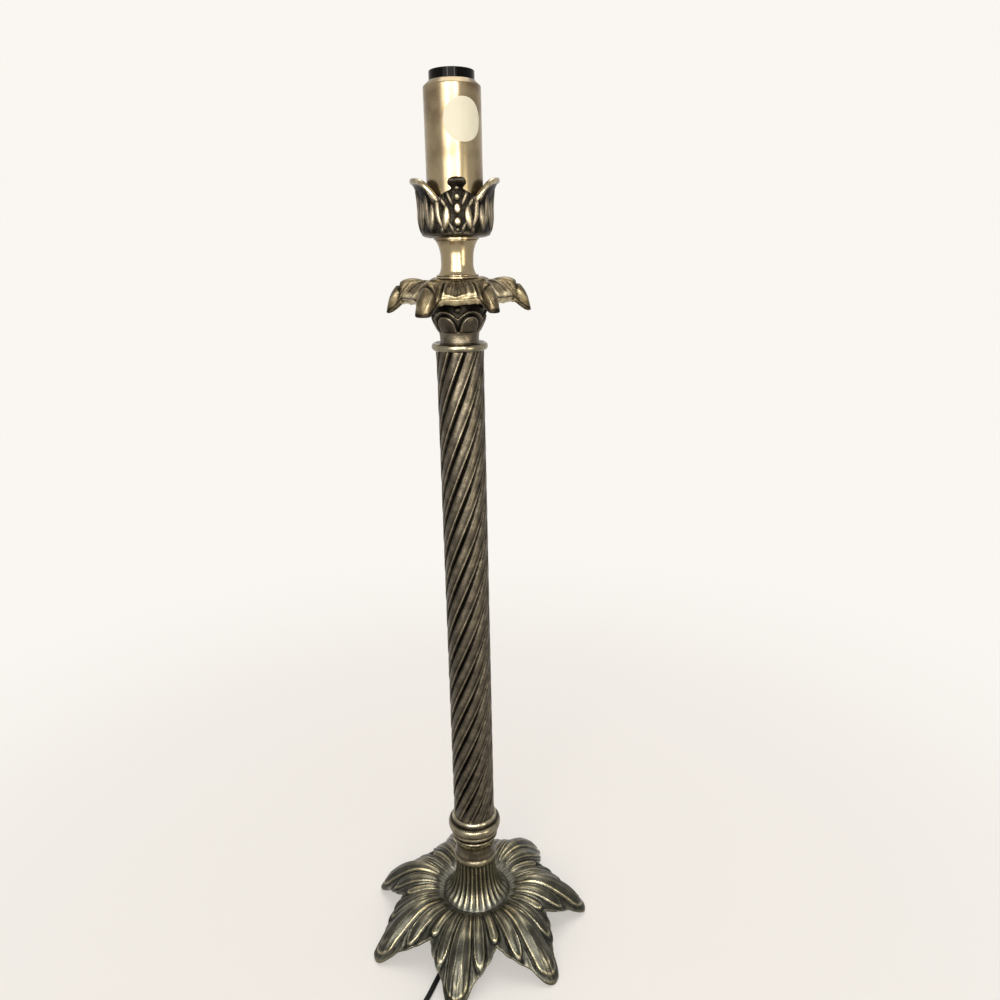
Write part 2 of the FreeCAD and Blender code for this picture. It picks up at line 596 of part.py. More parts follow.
def terminal_screws():
    start = HOLDER_ROOM_R - STRAP_W / 2
    shank = pin(SCREW_R, (0, start, SCREW_HEIGHT), (0, 1, 0), HOLDER_R - start)
    head = pin(SCREW_HEAD_R, (0, HOLDER_R, SCREW_HEIGHT), (0, 1, 0), SCREW_HEAD_H)
    top = HOLDER_R + SCREW_HEAD_H
    slot = box((-SLOT_W / 2, SLOT_W / 2), (top - SLOT_DEPTH, top + MARGIN),
               (SCREW_HEIGHT - SCREW_HEAD_R - MARGIN, SCREW_HEIGHT + SCREW_HEAD_R + MARGIN))
    return both_sides(shank.fuse(head).cut(slot))


def holder_bracket():
    """A steel stirrup: a tapped hub on the rod, and two legs riveted to the holder's boss."""
    inside = BOSS_R + PIN_GAP
    outside = inside + BRACKET_THICK
    half = BRACKET_W / 2
    plate = box((-outside, outside), (-half, half), (BRACKET_BOTTOM, BRACKET_BOTTOM + BRACKET_THICK))
    heights = (BRACKET_BOTTOM, BOSS_BOTTOM + BRACKET_LEG)
    legs = [box((inside, outside), (-half, half), heights), box((-outside, -inside), (-half, half), heights)]
    hub = pin(TAPPED_R + BRACKET_HUB_WALL, (0, 0, BRACKET_BOTTOM), (0, 0, 1), BRACKET_HUB_H)
    bore = pin(TAPPED_R, (0, 0, BRACKET_BOTTOM), (0, 0, 1), BRACKET_HUB_H)
    holes = pin(SCREW_R + PIN_GAP, (-outside, 0, BOSS_RIVET_Z), (1, 0, 0), 2 * outside)
    return plate.fuse(legs + [hub]).cut([bore, holes])


def bracket_rivets():
    face = BOSS_R + PIN_GAP + BRACKET_THICK
    start = BOSS_R - BRACKET_RIVET_IN
    head_r, head_h = BRACKET_RIVET_HEAD
    rivets = []
    for side in (-1, 1):
        shank = pin(SCREW_R, (side * start, 0, BOSS_RIVET_Z), (side, 0, 0), face - start)
        rivets.append(shank.fuse(pin(head_r, (side * face, 0, BOSS_RIVET_Z), (side, 0, 0), head_h)))
    return Part.makeCompound(rivets)


# ---------------------------------------------------------------- rod, nuts and washers
def threaded_rod():
    return ring(ROD_BORE_R, ROD_R, ROD_BOTTOM, ROD_TOP)


def cup_washer():
    return ring(ROD_HOLE_R, CUP_WASHER_R, CUP_SEAT, CUP_NUT_BOTTOM)


def cup_nut():
    return nut(CUP_NUT_BOTTOM)


def base_washer():
    return ring(ROD_HOLE_R, BASE_WASHER_R, BASE_WASHER_BOTTOM, WEB_BOTTOM)


def base_nut():
    return nut(BASE_NUT_BOTTOM)


def rod_bushing():
    """A plastic bush in the rod's lower end that keeps the cord off its edge."""
    bore = CORD_R + PIN_GAP
    flange = ROD_R + BUSH_LIP
    spigot = ROD_BORE_R - PIN_GAP
    top = ROD_BOTTOM + BUSH_SPIGOT_H
    return turned(((bore, CORD_EXIT_Z), (flange - BUSH_EDGE, CORD_EXIT_Z), (flange, CORD_EXIT_Z + BUSH_EDGE),
                   (flange, ROD_BOTTOM), (spigot, ROD_BOTTOM), (spigot, top), (bore, top)))


# ---------------------------------------------------------------- cord
def rounded_path(points, name):
    """Straight runs joined by tangent arcs. Returns the path and its length."""
    points = [Vector(*p) for p in points]
    edges, radii, here = [], [], points[0]
    for before, corner, after in zip(points, points[1:], points[2:]):
        a, b = before - corner, after - corner
        back = ROUNDING * min(a.Length, b.Length)
        half_turn = (math.pi - a.getAngle(b)) / 2
        radius = back / math.tan(half_turn)
        a.normalize()
        b.normalize()
        inside = (a + b).normalize() * (radius / math.cos(half_turn) - radius)
        start, end = corner + a * back, corner + b * back
        edges += [Part.makeLine(here, start), Part.Arc(start, corner + inside, end).toShape()]
        radii.append(radius)
        here = end
    edges.append(Part.makeLine(here, points[-1]))
    length = sum(e.Length for e in edges)
    print(f"{name}: length {length:.1f}, arc radii " + " ".join(f"{r:.1f}" for r in radii))
    return Part.Wire(edges), length


def tube(path, length, radius, name):
    """A round tube along a path, with its volume printed against its section times its length."""
    first = path.OrderedEdges[0]
    along = first.tangentAt(first.FirstParameter)
    circle = Part.Wire([Part.makeCircle(radius, first.valueAt(first.FirstParameter), along)])
    shape = path.makePipeShell([circle], True, False)
    print(f"{name}: volume {shape.Volume:.1f}, section times length {math.pi * radius ** 2 * length:.1f}")
    return shape


def cord_tube(points, radius, name):
    path, length = rounded_path(points, name)
    return tube(path, length, radius, name)


def inner_cord():
    return pin(CORD_R, (0, 0, CORD_EXIT_Z), (0, 0, 1), CORD_SPLIT_Z - CORD_EXIT_Z)


def holder_wires():
    rise = BOSS_BOTTOM - CORD_SPLIT_Z
    beside = HOLDER_R + SEAT_GAP + WIRE_R
    points = [(0, off, CORD_SPLIT_Z + share * rise) for off, share in WIRE_ROUTE]
    points += [(0, beside, HOLDER_BOTTOM - WIRE_TURN), (0, beside, SCREW_HEIGHT - SCREW_HEAD_R - PIN_GAP)]
    return both_sides(cord_tube(points, WIRE_R, "holder wire"))


def cord_lead():
    points = [(0.0, 0.0, CORD_EXIT_Z), *LEAD_ROUTE, (*SWITCH_ENTRY, SWITCH_MID)]
    return cord_tube(points, CORD_R, "cord_lead")


def coil_point(turns):
    """A point of the coil's middle line, a number of turns from its outer end."""
    layer = min(int(turns / COIL_TURNS), COIL_LAYERS - 1)
    within = turns - layer * COIL_TURNS
    inward = within if layer % 2 == 0 else COIL_TURNS - within
    radius = COIL_OUTER_R - inward * COIL_PITCH
    z = COIL_Z
    for step in range(1, COIL_LAYERS):
        s = min(max(2 * (turns - step * COIL_TURNS) + 0.5, 0.0), 1.0)
        z += COIL_PITCH * s * s * (3 - 2 * s)
    a = math.radians(COIL_START) + 2 * math.pi * turns
    return Vector(COIL_CENTRE[0] + radius * math.cos(a), COIL_CENTRE[1] + radius * math.sin(a), z)


def coil_heading(turns):
    """The direction of the coil's middle line, square to the radius at its two ends."""
    if turns <= 0.0 or turns >= COIL_TOTAL:
        a = math.radians(COIL_START) + 2 * math.pi * turns
        return Vector(-math.sin(a), math.cos(a), 0)
    return (coil_point(turns + TURN_STEP) - coil_point(turns - TURN_STEP)).normalize()


def arc_along(start, heading, end):
    """The arc that leaves start along heading and ends at end. Returns its middle point."""
    chord = end - start
    across = heading.cross(chord).cross(heading).normalize()
    radius = chord.dot(chord) / (2 * chord.dot(across))
    centre = start + across * radius
    return centre + ((start + end) * 0.5 - centre).normalize() * radius


def biarc(start, start_heading, end, end_heading):
    """Two arcs that leave start and reach end along the given headings, and touch where they meet."""
    span = end - start
    both = start_heading + end_heading
    a = 2 * (1 - start_heading.dot(end_heading))
    b = 2 * span.dot(both)
    reach = (-b + math.sqrt(b * b + 4 * a * span.dot(span))) / (2 * a)
    meet = (start + start_heading * reach + end - end_heading * reach) * 0.5
    first = Part.Arc(start, arc_along(start, start_heading, meet), meet)
    second = Part.Arc(meet, arc_along(end, end_heading * -1, meet), end)
    return [first.toShape(), second.toShape()]


def coil_gap(edges):
    """The least gap between turns of the coil, measured on points along its middle line."""
    points, run = [], 0.0
    for edge in edges:
        steps = max(2, int(edge.Length / COIL_STEP))
        for point in edge.discretize(steps + 1)[:-1]:
            points.append((run, point))
            run += edge.Length / steps
    apart = 8 * CORD_R
    return min((p - q).Length for i, (s, p) in enumerate(points) for t, q in points[i + 1:]
               if t - s > apart) - 2 * CORD_R


def coil_ends():
    """The two ends of the coil's tube, each one diameter straight on from its last turn."""
    start, end = coil_point(0.0), coil_point(COIL_TOTAL)
    return start - coil_heading(0.0) * 2 * CORD_R, end + coil_heading(COIL_TOTAL) * 2 * CORD_R


def cord_coil():
    count = int(round(COIL_TOTAL * 4))
    stops = [COIL_TOTAL * i / count for i in range(count + 1)]
    start, end = coil_ends()
    edges = [Part.makeLine(start, coil_point(0.0))]
    for a, b in zip(stops, stops[1:]):
        edges += biarc(coil_point(a), coil_heading(a), coil_point(b), coil_heading(b))
    edges.append(Part.makeLine(coil_point(COIL_TOTAL), end))
    length = sum(e.Length for e in edges)
    print(f"cord_coil: length {length:.1f}, turns {COIL_TOTAL:.2f}, least gap {coil_gap(edges):.2f}")
    return tube(Part.Wire(edges), length, CORD_R, "cord_coil")


def switch_exit():
    a = math.radians(SWITCH_HEADING)
    x, y = SWITCH_ENTRY
    return x + SWITCH_L * math.cos(a), y + SWITCH_L * math.sin(a)


def cord_tail():
    start = coil_ends()[0]
    before = start - coil_heading(0.0) * 3 * CORD_R
    points = [(*switch_exit(), SWITCH_MID), *TAIL_ROUTE, tuple(before), tuple(start)]
    return cord_tube(points, CORD_R, "cord_tail")


def cord_end():
    return pin(CORD_R, coil_ends()[1], coil_heading(COIL_TOTAL), END_RUN)


def cord_tie():
    """A flat strap round both layers of the coil."""
    outer = COIL_OUTER_R + CORD_R + SEAT_GAP
    inner = 2 * COIL_MEAN_R - outer
    low, high = TIE_THICK, PLUG_Z + CORD_R + SEAT_GAP
    band = box((inner - TIE_THICK, outer + TIE_THICK), (-TIE_W / 2, TIE_W / 2), (0.0, high + TIE_THICK))
    corners = [e for e in band.Edges if abs(e.Length - TIE_W) < SAME]
    band = band.makeFillet(TIE_THICK, corners).cut(box((inner, outer), (-TIE_W, TIE_W), (low, high)))
    band.rotate(Vector(0, 0, 0), Vector(0, 0, 1), TIE_TURN)
    band.translate(Vector(*COIL_CENTRE, 0))
    return band


# ---------------------------------------------------------------- in-line switch
# Its own frame has X along the cord and its origin under its middle.
def at_switch(shape):
    a = math.radians(SWITCH_HEADING)
    x, y = SWITCH_ENTRY
    middle = Vector(x + SWITCH_L / 2 * math.cos(a), y + SWITCH_L / 2 * math.sin(a), 0)
    shape.Placement = Placement(middle, Rotation(Vector(0, 0, 1), SWITCH_HEADING)).multiply(shape.Placement)
    return shape


def switch_half(low, high, outside, inside):
    """One half of the housing, from its heights, its outer face and the inner face of its cover."""
    half_l, half_w = SWITCH_L / 2, SWITCH_W / 2
    body = box((-half_l, half_l), (-half_w, half_w), (low, high))
    upright = [e for e in body.Edges if abs(e.Length - SWITCH_MID) < SAME]
    body = body.makeFillet(SWITCH_ROUND, upright)
    rim = [e for e in body.Edges if abs(e.BoundBox.ZMin - outside) + abs(e.BoundBox.ZMax - outside) < SAME]
    body = body.makeFillet(SWITCH_EDGE, rim)
    wheel_half = WHEEL_H / 2 + WHEEL_ROOM
    room_x, room_y = half_l - SWITCH_END, half_w - SWITCH_WALL
    inner_low, inner_high = sorted((inside, SWITCH_MID))
    room = box((-room_x, room_x), (-room_y, room_y), (inner_low, inner_high))
    cord = pin(CORD_R + PIN_GAP, (-half_l, 0, SWITCH_MID), (1, 0, 0), SWITCH_L)
    wheel = pin(WHEEL_R + WHEEL_ROOM, (0, WHEEL_OFFSET, SWITCH_MID - wheel_half), (0, 0, 1), 2 * wheel_half)
    post = pin(SWITCH_POST_R, (*SWITCH_SCREW_AT, inner_low), (0, 0, 1), inner_high - inner_low)
    seat = SWITCH_MID + wheel_half if inside > SWITCH_MID else SWITCH_MID - wheel_half
    boss_low, boss_high = sorted((inside, seat))
    boss = pin(AXLE_R + BOSS_WALL, (0, WHEEL_OFFSET, boss_low), (0, 0, 1), boss_high - boss_low)
    axle = pin(AXLE_R + PIN_GAP, (0, WHEEL_OFFSET, SWITCH_WALL / 2), (0, 0, 1), SWITCH_H - SWITCH_WALL)
    head_r, head_h = SWITCH_SCREW_HEAD
    screw = pin(SCREW_R + PIN_GAP, (*SWITCH_SCREW_AT, SWITCH_WALL), (0, 0, 1), SWITCH_H)
    head = pin(head_r + PIN_GAP, (*SWITCH_SCREW_AT, SWITCH_H - head_h), (0, 0, 1), head_h)
    return at_switch(body.cut([room, wheel]).fuse([boss, post]).cut([cord, axle, screw, head]))


def switch_bottom():
    return switch_half(0.0, SWITCH_MID, 0.0, SWITCH_WALL)


def switch_top():
    return switch_half(SWITCH_MID, SWITCH_H, SWITCH_H, SWITCH_H - SWITCH_WALL)


def switch_wheel():
    """The notched wheel that is rolled with a thumb."""
    low = SWITCH_MID - WHEEL_H / 2
    disc = pin(WHEEL_R, (0, WHEEL_OFFSET, low), (0, 0, 1), WHEEL_H)
    cuts = [pin(AXLE_R + AXLE_GAP, (0, WHEEL_OFFSET, low), (0, 0, 1), WHEEL_H)]
    for i in range(WHEEL_NOTCHES):
        a = 2 * math.pi * i / WHEEL_NOTCHES
        place = (WHEEL_R * math.cos(a), WHEEL_OFFSET + WHEEL_R * math.sin(a), low)
        cuts.append(pin(WHEEL_NOTCH_R, place, (0, 0, 1), WHEEL_H))
    return at_switch(disc.cut(cuts))


def switch_axle():
    return at_switch(pin(AXLE_R, (0, WHEEL_OFFSET, SWITCH_WALL / 2), (0, 0, 1), SWITCH_H - SWITCH_WALL))


def switch_screw():
    head_r, head_h = SWITCH_SCREW_HEAD
    x, y = SWITCH_SCREW_AT
    head = pin(head_r, (x, y, SWITCH_H - head_h), (0, 0, 1), head_h)
    shank = pin(SCREW_R, (x, y, 2 * SWITCH_WALL), (0, 0, 1), SWITCH_H - head_h - 2 * SWITCH_WALL)
    slot = box((x - head_r - MARGIN, x + head_r + MARGIN), (y - SLOT_W / 2, y + SLOT_W / 2),
               (SWITCH_H - SLOT_DEPTH, SWITCH_H + MARGIN))
    return at_switch(head.fuse(shank).cut(slot))


def switch_cord():
    """The two stretches of cord held inside the switch."""
    return at_switch(Part.makeCompound([pin(CORD_R, (side * SWITCH_L / 2, 0, SWITCH_MID), (-side, 0, 0),
                                            SWITCH_CORD_IN) for side in (-1, 1)]))


# ---------------------------------------------------------------- plug
# Its own frame has X along the cord, away from it, and its origin where the cord enters.
def at_plug(shape):
    heading = coil_heading(COIL_TOTAL)
    place = coil_ends()[1] + heading * END_RUN
    turn = math.degrees(math.atan2(heading.y, heading.x))
    shape.Placement = Placement(place, Rotation(Vector(0, 0, 1), turn))
    return shape


def blade_box(root, tip, side):
    y = side * BLADE_PITCH / 2
    return box((root, tip), (y - BLADE_THICK / 2, y + BLADE_THICK / 2), (-BLADE_W / 2, BLADE_W / 2))


def plug_body():
    front = RELIEF_L + PLUG_L
    relief = Part.makeCone(*RELIEF_R, RELIEF_L, Vector(0, 0, 0), Vector(1, 0, 0))
    block = box((RELIEF_L, front), (-PLUG_W / 2, PLUG_W / 2), (-PLUG_Z, PLUG_Z))
    upright = [e for e in block.Edges if abs(e.Length - 2 * PLUG_Z) < SAME]
    block = block.makeFillet(PLUG_ROUND, upright)
    rims = [e for e in block.Edges if abs(e.BoundBox.ZMax - e.BoundBox.ZMin) < SAME]
    block = block.makeFillet(PLUG_EDGE, rims)
    slots = [blade_box(front - BLADE_ROOT, front + MARGIN, side) for side in (-1, 1)]
    return at_plug(block.fuse(relief).cut(slots))


def plug_blades():
    root, tip = RELIEF_L + PLUG_L - BLADE_ROOT, RELIEF_L + PLUG_L + BLADE_L
    blades = []
    for side in (-1, 1):
        blade = blade_box(root, tip, side)
        corners = [e for e in blade.Edges if abs(e.Length - BLADE_THICK) < SAME]
        ends = [e for e in corners if e.BoundBox.XMin > root + MARGIN]
        blades.append(blade.makeChamfer(BLADE_TIP, ends))
    return at_plug(Part.makeCompound(blades))


# ---------------------------------------------------------------- write the pieces
PIECES = (base_casting, base_collar, base_ring, twisted_column, column_ring, capital, bobeche, neck_spool,
          candle_cup, candle_sleeve, sleeve_sticker, holder_body, screw_shell, holder_insulator,
          contact_rivets, contact_straps, centre_contact, terminal_screws, holder_bracket, bracket_rivets,
          threaded_rod, cup_washer, cup_nut, base_washer, base_nut, rod_bushing, inner_cord, holder_wires,
          cord_lead, switch_bottom, switch_top, switch_wheel, switch_axle, switch_screw, switch_cord,
          cord_tail, cord_coil, cord_tie, cord_end, plug_body, plug_blades)

os.makedirs("parts", exist_ok=True)
for piece in PIECES:
    shape = piece()
    extent = shape.BoundBox
    print(f"{piece.__name__}: valid {shape.isValid()}, solids {len(shape.Solids)}, "
          f"volume {shape.Volume:.0f}, z {extent.ZMin:.1f} to {extent.ZMax:.1f}")
    shape.exportStep(f"parts/{piece.__name__}.step")
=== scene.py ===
"""The looks of a tall cast brass candlestick lamp: cast leaves, a twisted column, a drip pan, a cup and
a tube, a black lampholder and its cord, in a plain pale studio. Sizes in the classes are millimetres.
"""
import logging
import math
from dataclasses import dataclass, field
from enum import Enum
from typing import Sequence

import bmesh
import bpy
import numpy as np
from mathutils import Matrix, Vector


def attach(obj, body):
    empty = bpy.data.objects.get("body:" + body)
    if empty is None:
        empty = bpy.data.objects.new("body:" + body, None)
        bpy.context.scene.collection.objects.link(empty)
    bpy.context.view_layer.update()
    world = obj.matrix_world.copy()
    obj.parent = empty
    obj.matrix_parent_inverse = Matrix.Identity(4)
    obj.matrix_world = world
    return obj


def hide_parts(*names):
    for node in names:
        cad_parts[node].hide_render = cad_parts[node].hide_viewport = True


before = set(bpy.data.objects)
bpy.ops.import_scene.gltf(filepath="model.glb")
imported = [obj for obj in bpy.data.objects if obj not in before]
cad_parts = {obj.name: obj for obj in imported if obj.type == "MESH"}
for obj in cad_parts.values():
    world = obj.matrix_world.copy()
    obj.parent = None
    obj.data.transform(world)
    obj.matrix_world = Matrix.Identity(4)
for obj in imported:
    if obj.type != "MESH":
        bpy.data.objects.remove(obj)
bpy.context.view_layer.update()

MM = 0.001
JOIN_WITHIN = 1e-6              # metres
SHARP_FROM = math.radians(38)   # edges as bent as this stay sharp
LOG = logging.getLogger("lamp")
Points = Sequence[tuple[float, float]]


class Body(Enum):
    """The CAD body that a piece moves with."""
    LAMP = "lamp"


class Slot(Enum):
    """The record's material slots, one passed for each new piece."""
    CAST = "cast_brass"
    SATIN = "satin_brass"
    PAPER = "paper"
    PHENOLIC = "phenolic"
    SHELL = "shell_metal"
    PLASTIC = "black_plastic"
    CORD = "cord_pvc"


# ---------------------------------------------------------------- shared tools
def linear(code: str) -> tuple[float, float, float, float]:
    """Turns an sRGB hex colour to linear.

    Args:
        code: the colour, such as "#c0ffee".
    Returns:
        Red, green, blue and alpha.
    """
    parts = [int(code[i:i + 2], 16) / 255 for i in (1, 3, 5)]
    low = [p / 12.92 if p <= 0.04045 else ((p + 0.055) / 1.055) ** 2.4 for p in parts]
    return (*low, 1.0)


def add_node(tree: bpy.types.NodeTree, kind: str, settings: dict | None = None, **inputs) -> bpy.types.Node:
    """Adds one shader node with its settings and links.

    Args:
        tree: the node tree.
        kind: the node's type without its ShaderNode prefix.
        settings: properties of the node, and a list of (place, hex colour) stops for a ramp.
        inputs: for each input, by name or, after a letter, by number: a value, an output socket, or a node
            whose first output is taken.
    Returns:
        The node.
    """
    node = tree.nodes.new("ShaderNode" + kind)
    for key, value in (settings or {}).items():
        if key == "stops":
            for place, code in value:
                at = node.color_ramp.elements.new(place)
                at.color = linear(code)
            for spare in (node.color_ramp.elements[-1], node.color_ramp.elements[0]):
                node.color_ramp.elements.remove(spare)
        else:
            setattr(node, key, value)
    for key, value in inputs.items():
        socket = node.inputs[int(key[1:])] if key[1:].isdigit() else node.inputs[key.replace("_", " ")]
        if isinstance(value, bpy.types.Node):
            value = value.outputs[0]
        if isinstance(value, bpy.types.NodeSocket):
            tree.links.new(value, socket)
        else:
            socket.default_value = value
    return node


def through(points: Points, at: np.ndarray) -> np.ndarray:
    """Values of a smooth curve that passes its points without overshoot.

    Args:
        points: (x, y) pairs with rising x.
        at: the x values that are wanted, held to the curve's range.
    Returns:
        The y values.
    """
    x, y = np.array(points, float).T
    rise = np.diff(y) / np.diff(x)
    both = rise[:-1] * rise[1:]
    middle = np.where(both > 0, 2 * both / (rise[:-1] + rise[1:] + 1e-12 * np.sign(rise[1:])), 0.0)
    slope = np.concatenate((rise[:1], middle, rise[-1:]))
    at = np.clip(at, x[0], x[-1])
    i = np.clip(np.searchsorted(x, at) - 1, 0, len(x) - 2)
    gap = x[i + 1] - x[i]
    t = (at - x[i]) / gap
    return (y[i] * (1 + 2 * t) * (1 - t) ** 2 + slope[i] * gap * t * (1 - t) ** 2
            + y[i + 1] * t * t * (3 - 2 * t) + slope[i + 1] * gap * t * t * (t - 1))


def flowing(points: Points, count: int) -> np.ndarray:
    """A smooth line through (radius, height) points.

    Args:
        points: the points.
        count: how many points the line gets.
    Returns:
        An array of count (radius, height) rows.
    """
    places = np.array(points, float)
    along = np.concatenate(([0.0], np.cumsum(np.hypot(*np.diff(places, axis=0).T))))
    at = np.linspace(0.0, along[-1], count)
    return np.stack([through(list(zip(along, places[:, k])), at) for k in (0, 1)], axis=1)


def bead(foot: float, radius: float, z: float, half: float, count: int = 12) -> np.ndarray:
    """A half round moulding.

    Args:
        foot: radius at its edges.
        radius: radius at its middle.
        z: height of its middle.
        half: half of its height.
        count: how many points it gets.
    Returns:
        Its (radius, height) rows, from below.
    """
    turn = np.linspace(-math.pi / 2, math.pi / 2, count)
    return np.stack([foot + (radius - foot) * np.cos(turn), z + half * np.sin(turn)], axis=1)


def polar(radius: np.ndarray, degrees: np.ndarray, z: np.ndarray) -> np.ndarray:
    """Points from radii, angles from the front towards +X, and heights."""
    a = np.radians(degrees)
    return np.stack(np.broadcast_arrays(radius * np.sin(a), -radius * np.cos(a), z), axis=-1)


def bump(distance: np.ndarray, width: float) -> np.ndarray:
    """A smooth hump, 1 at a distance of 0 and fading over the width."""
    return np.exp(-(distance / width) ** 2)


def step(low: float, high: float, at: np.ndarray) -> np.ndarray:
    """A smooth rise from 0 at low to 1 at high."""
    t = np.clip((at - low) / (high - low), 0.0, 1.0)
    return t * t * (3 - 2 * t)


def mixed(marks: dict[str, np.ndarray], shares: dict[str, float]) -> np.ndarray:
    """The sum of the named marks, each times its share.

    Args:
        marks: the strength of each mark at every point, by name.
        shares: what each adds, by the same names.
    Returns:
        The sum at every point.
    """
    return sum(share * marks[name] for name, share in shares.items())


def round_leaves(leaves: int, per_leaf: int, turn: float) -> tuple[np.ndarray, np.ndarray]:
    """Angles all round the axis, for a form of equal leaves.

    Args:
        leaves: how many leaves there are.
        per_leaf: how many angles each leaf gets.
        turn: where the first leaf's middle is, in degrees from the front.
    Returns:
        The angles, and how many degrees each lies off the middle of its own leaf.
    """
    place = np.arange(leaves * per_leaf)
    sector = 360.0 / leaves
    return turn + place * 360.0 / len(place), (place / per_leaf + 0.5) % 1.0 * sector - sector / 2


def normals(radius: np.ndarray, z: np.ndarray) -> tuple[np.ndarray, np.ndarray]:
    """The directions that a skin faces, from its slope along its rows.

    Args:
        radius: the skin's radii, from the axis outwards.
        z: its heights.
    Returns:
        The outward and the upward part of its normals.
    """
    outward, upward = np.gradient(radius, axis=0), np.gradient(z, axis=0)
    size = np.hypot(outward, upward)
    return -upward / size, outward / size


def joined(grids: Sequence[tuple[np.ndarray, np.ndarray]], rows: Points) -> tuple[np.ndarray, np.ndarray]:
    """Joins skins to one grid, and closes it with plain rings.

    Args:
        grids: the skins, each as its radii and its heights.
        rows: (radius, height) of the rings that follow them.
    Returns:
        The radii and the heights of the whole grid.
    """
    rings = np.repeat(np.array(rows)[:, :, None], grids[0][0].shape[1], 2)
    return (np.concatenate([radius for radius, _ in grids] + [rings[:, 0]]),
            np.concatenate([z for _, z in grids] + [rings[:, 1]]))


def grid_mesh(name: str, points: np.ndarray, worn: np.ndarray | float = 0.5,
              bloom: np.ndarray | float = 0.0) -> bpy.types.Mesh:
    """A mesh from a grid of points that closes on itself both round the axis and along it.

    Args:
        name: the mesh's name.
        points: an array of rows by columns by 3, in millimetres.
        worn: 0 in hollows to 1 on rubbed ridges, at each point; on the column and the bell it also holds
            painted shade, and on the column a painted highlight.
        bloom: 0 to 1, how much grey-green bloom lies on the metal.
    Returns:
        The mesh, smooth shaded with its sharp edges kept.
    """
    rows, columns = points.shape[:2]
    index = np.arange(rows * columns).reshape(rows, columns)
    above = np.roll(index, -1, axis=0)
    faces = np.stack([index, np.roll(index, -1, axis=1), np.roll(above, -1, axis=1), above], axis=-1)
    mesh = bpy.data.meshes.new(name)
    mesh.from_pydata((points.reshape(-1, 3) * MM).tolist(), [], faces.reshape(-1, 4).tolist())
    finish = mesh.attributes.new("finish", "FLOAT_COLOR", "POINT")
    colour = np.ones((rows, columns, 4), np.float32)
    colour[..., 0] = worn
    colour[..., 1] = bloom
    finish.data.foreach_set("color", colour.ravel())
    tidy = bmesh.new()
    tidy.from_mesh(mesh)
    bmesh.ops.remove_doubles(tidy, verts=tidy.verts, dist=JOIN_WITHIN)
    bmesh.ops.recalc_face_normals(tidy, faces=tidy.faces)
    tidy.to_mesh(mesh)
    tidy.free()
    mesh.shade_smooth()
    mesh.set_sharp_from_angle(angle=SHARP_FROM)
    return mesh


def spun(name: str, outline: np.ndarray, columns: int = 192, wear: float = 0.5,
         shine: float = 0.35) -> bpy.types.Mesh:
    """A turned mesh from a closed outline of (radius, height) rows.

    Args:
        name: the mesh's name.
        outline: the outline, without its first point again.
        columns: how many sides it has.
        wear: how rubbed its plain faces are.
        shine: how much more rubbed its beads and edges are.
    Returns:
        The mesh.
    """
    radius, z = outline.T
    near = [np.roll(radius, k) for k in (-5, -3, 3, 5)]
    proud = np.clip(radius - sum(near) / len(near), -1.0, 1.0)
    angles = np.arange(columns) * 360.0 / columns
    points = polar(radius[:, None], angles[None, :], z[:, None])
    return grid_mesh(name, points, np.clip(wear + shine * proud, 0.0, 1.0)[:, None])


# ---------------------------------------------------------------- finishes
@dataclass(frozen=True)
class Finish:
    """What every finish shares: a name, and a way to start its node tree."""
    name: str

    def start(self) -> tuple[bpy.types.Material, bpy.types.NodeTree, bpy.types.NodeSocket]:
        """Starts a material.

        Returns:
            The material, its empty tree and the object's own coordinates.
        """
        material = bpy.data.materials.new(self.name)
        material.use_nodes = True
        material.node_tree.nodes.clear()
        place = add_node(material.node_tree, "TexCoord")
        return material, material.node_tree, place.outputs["Object"]

    def noise(self, tree: bpy.types.NodeTree, place: bpy.types.NodeSocket, size_mm: float,
              detail: float = 3.0) -> bpy.types.NodeSocket:
        """Returns a noise whose features have about the given size."""
        scale = 1.0 / (size_mm * MM)
        return add_node(tree, "TexNoise", None, Vector=place, Scale=scale, Detail=detail).outputs[0]


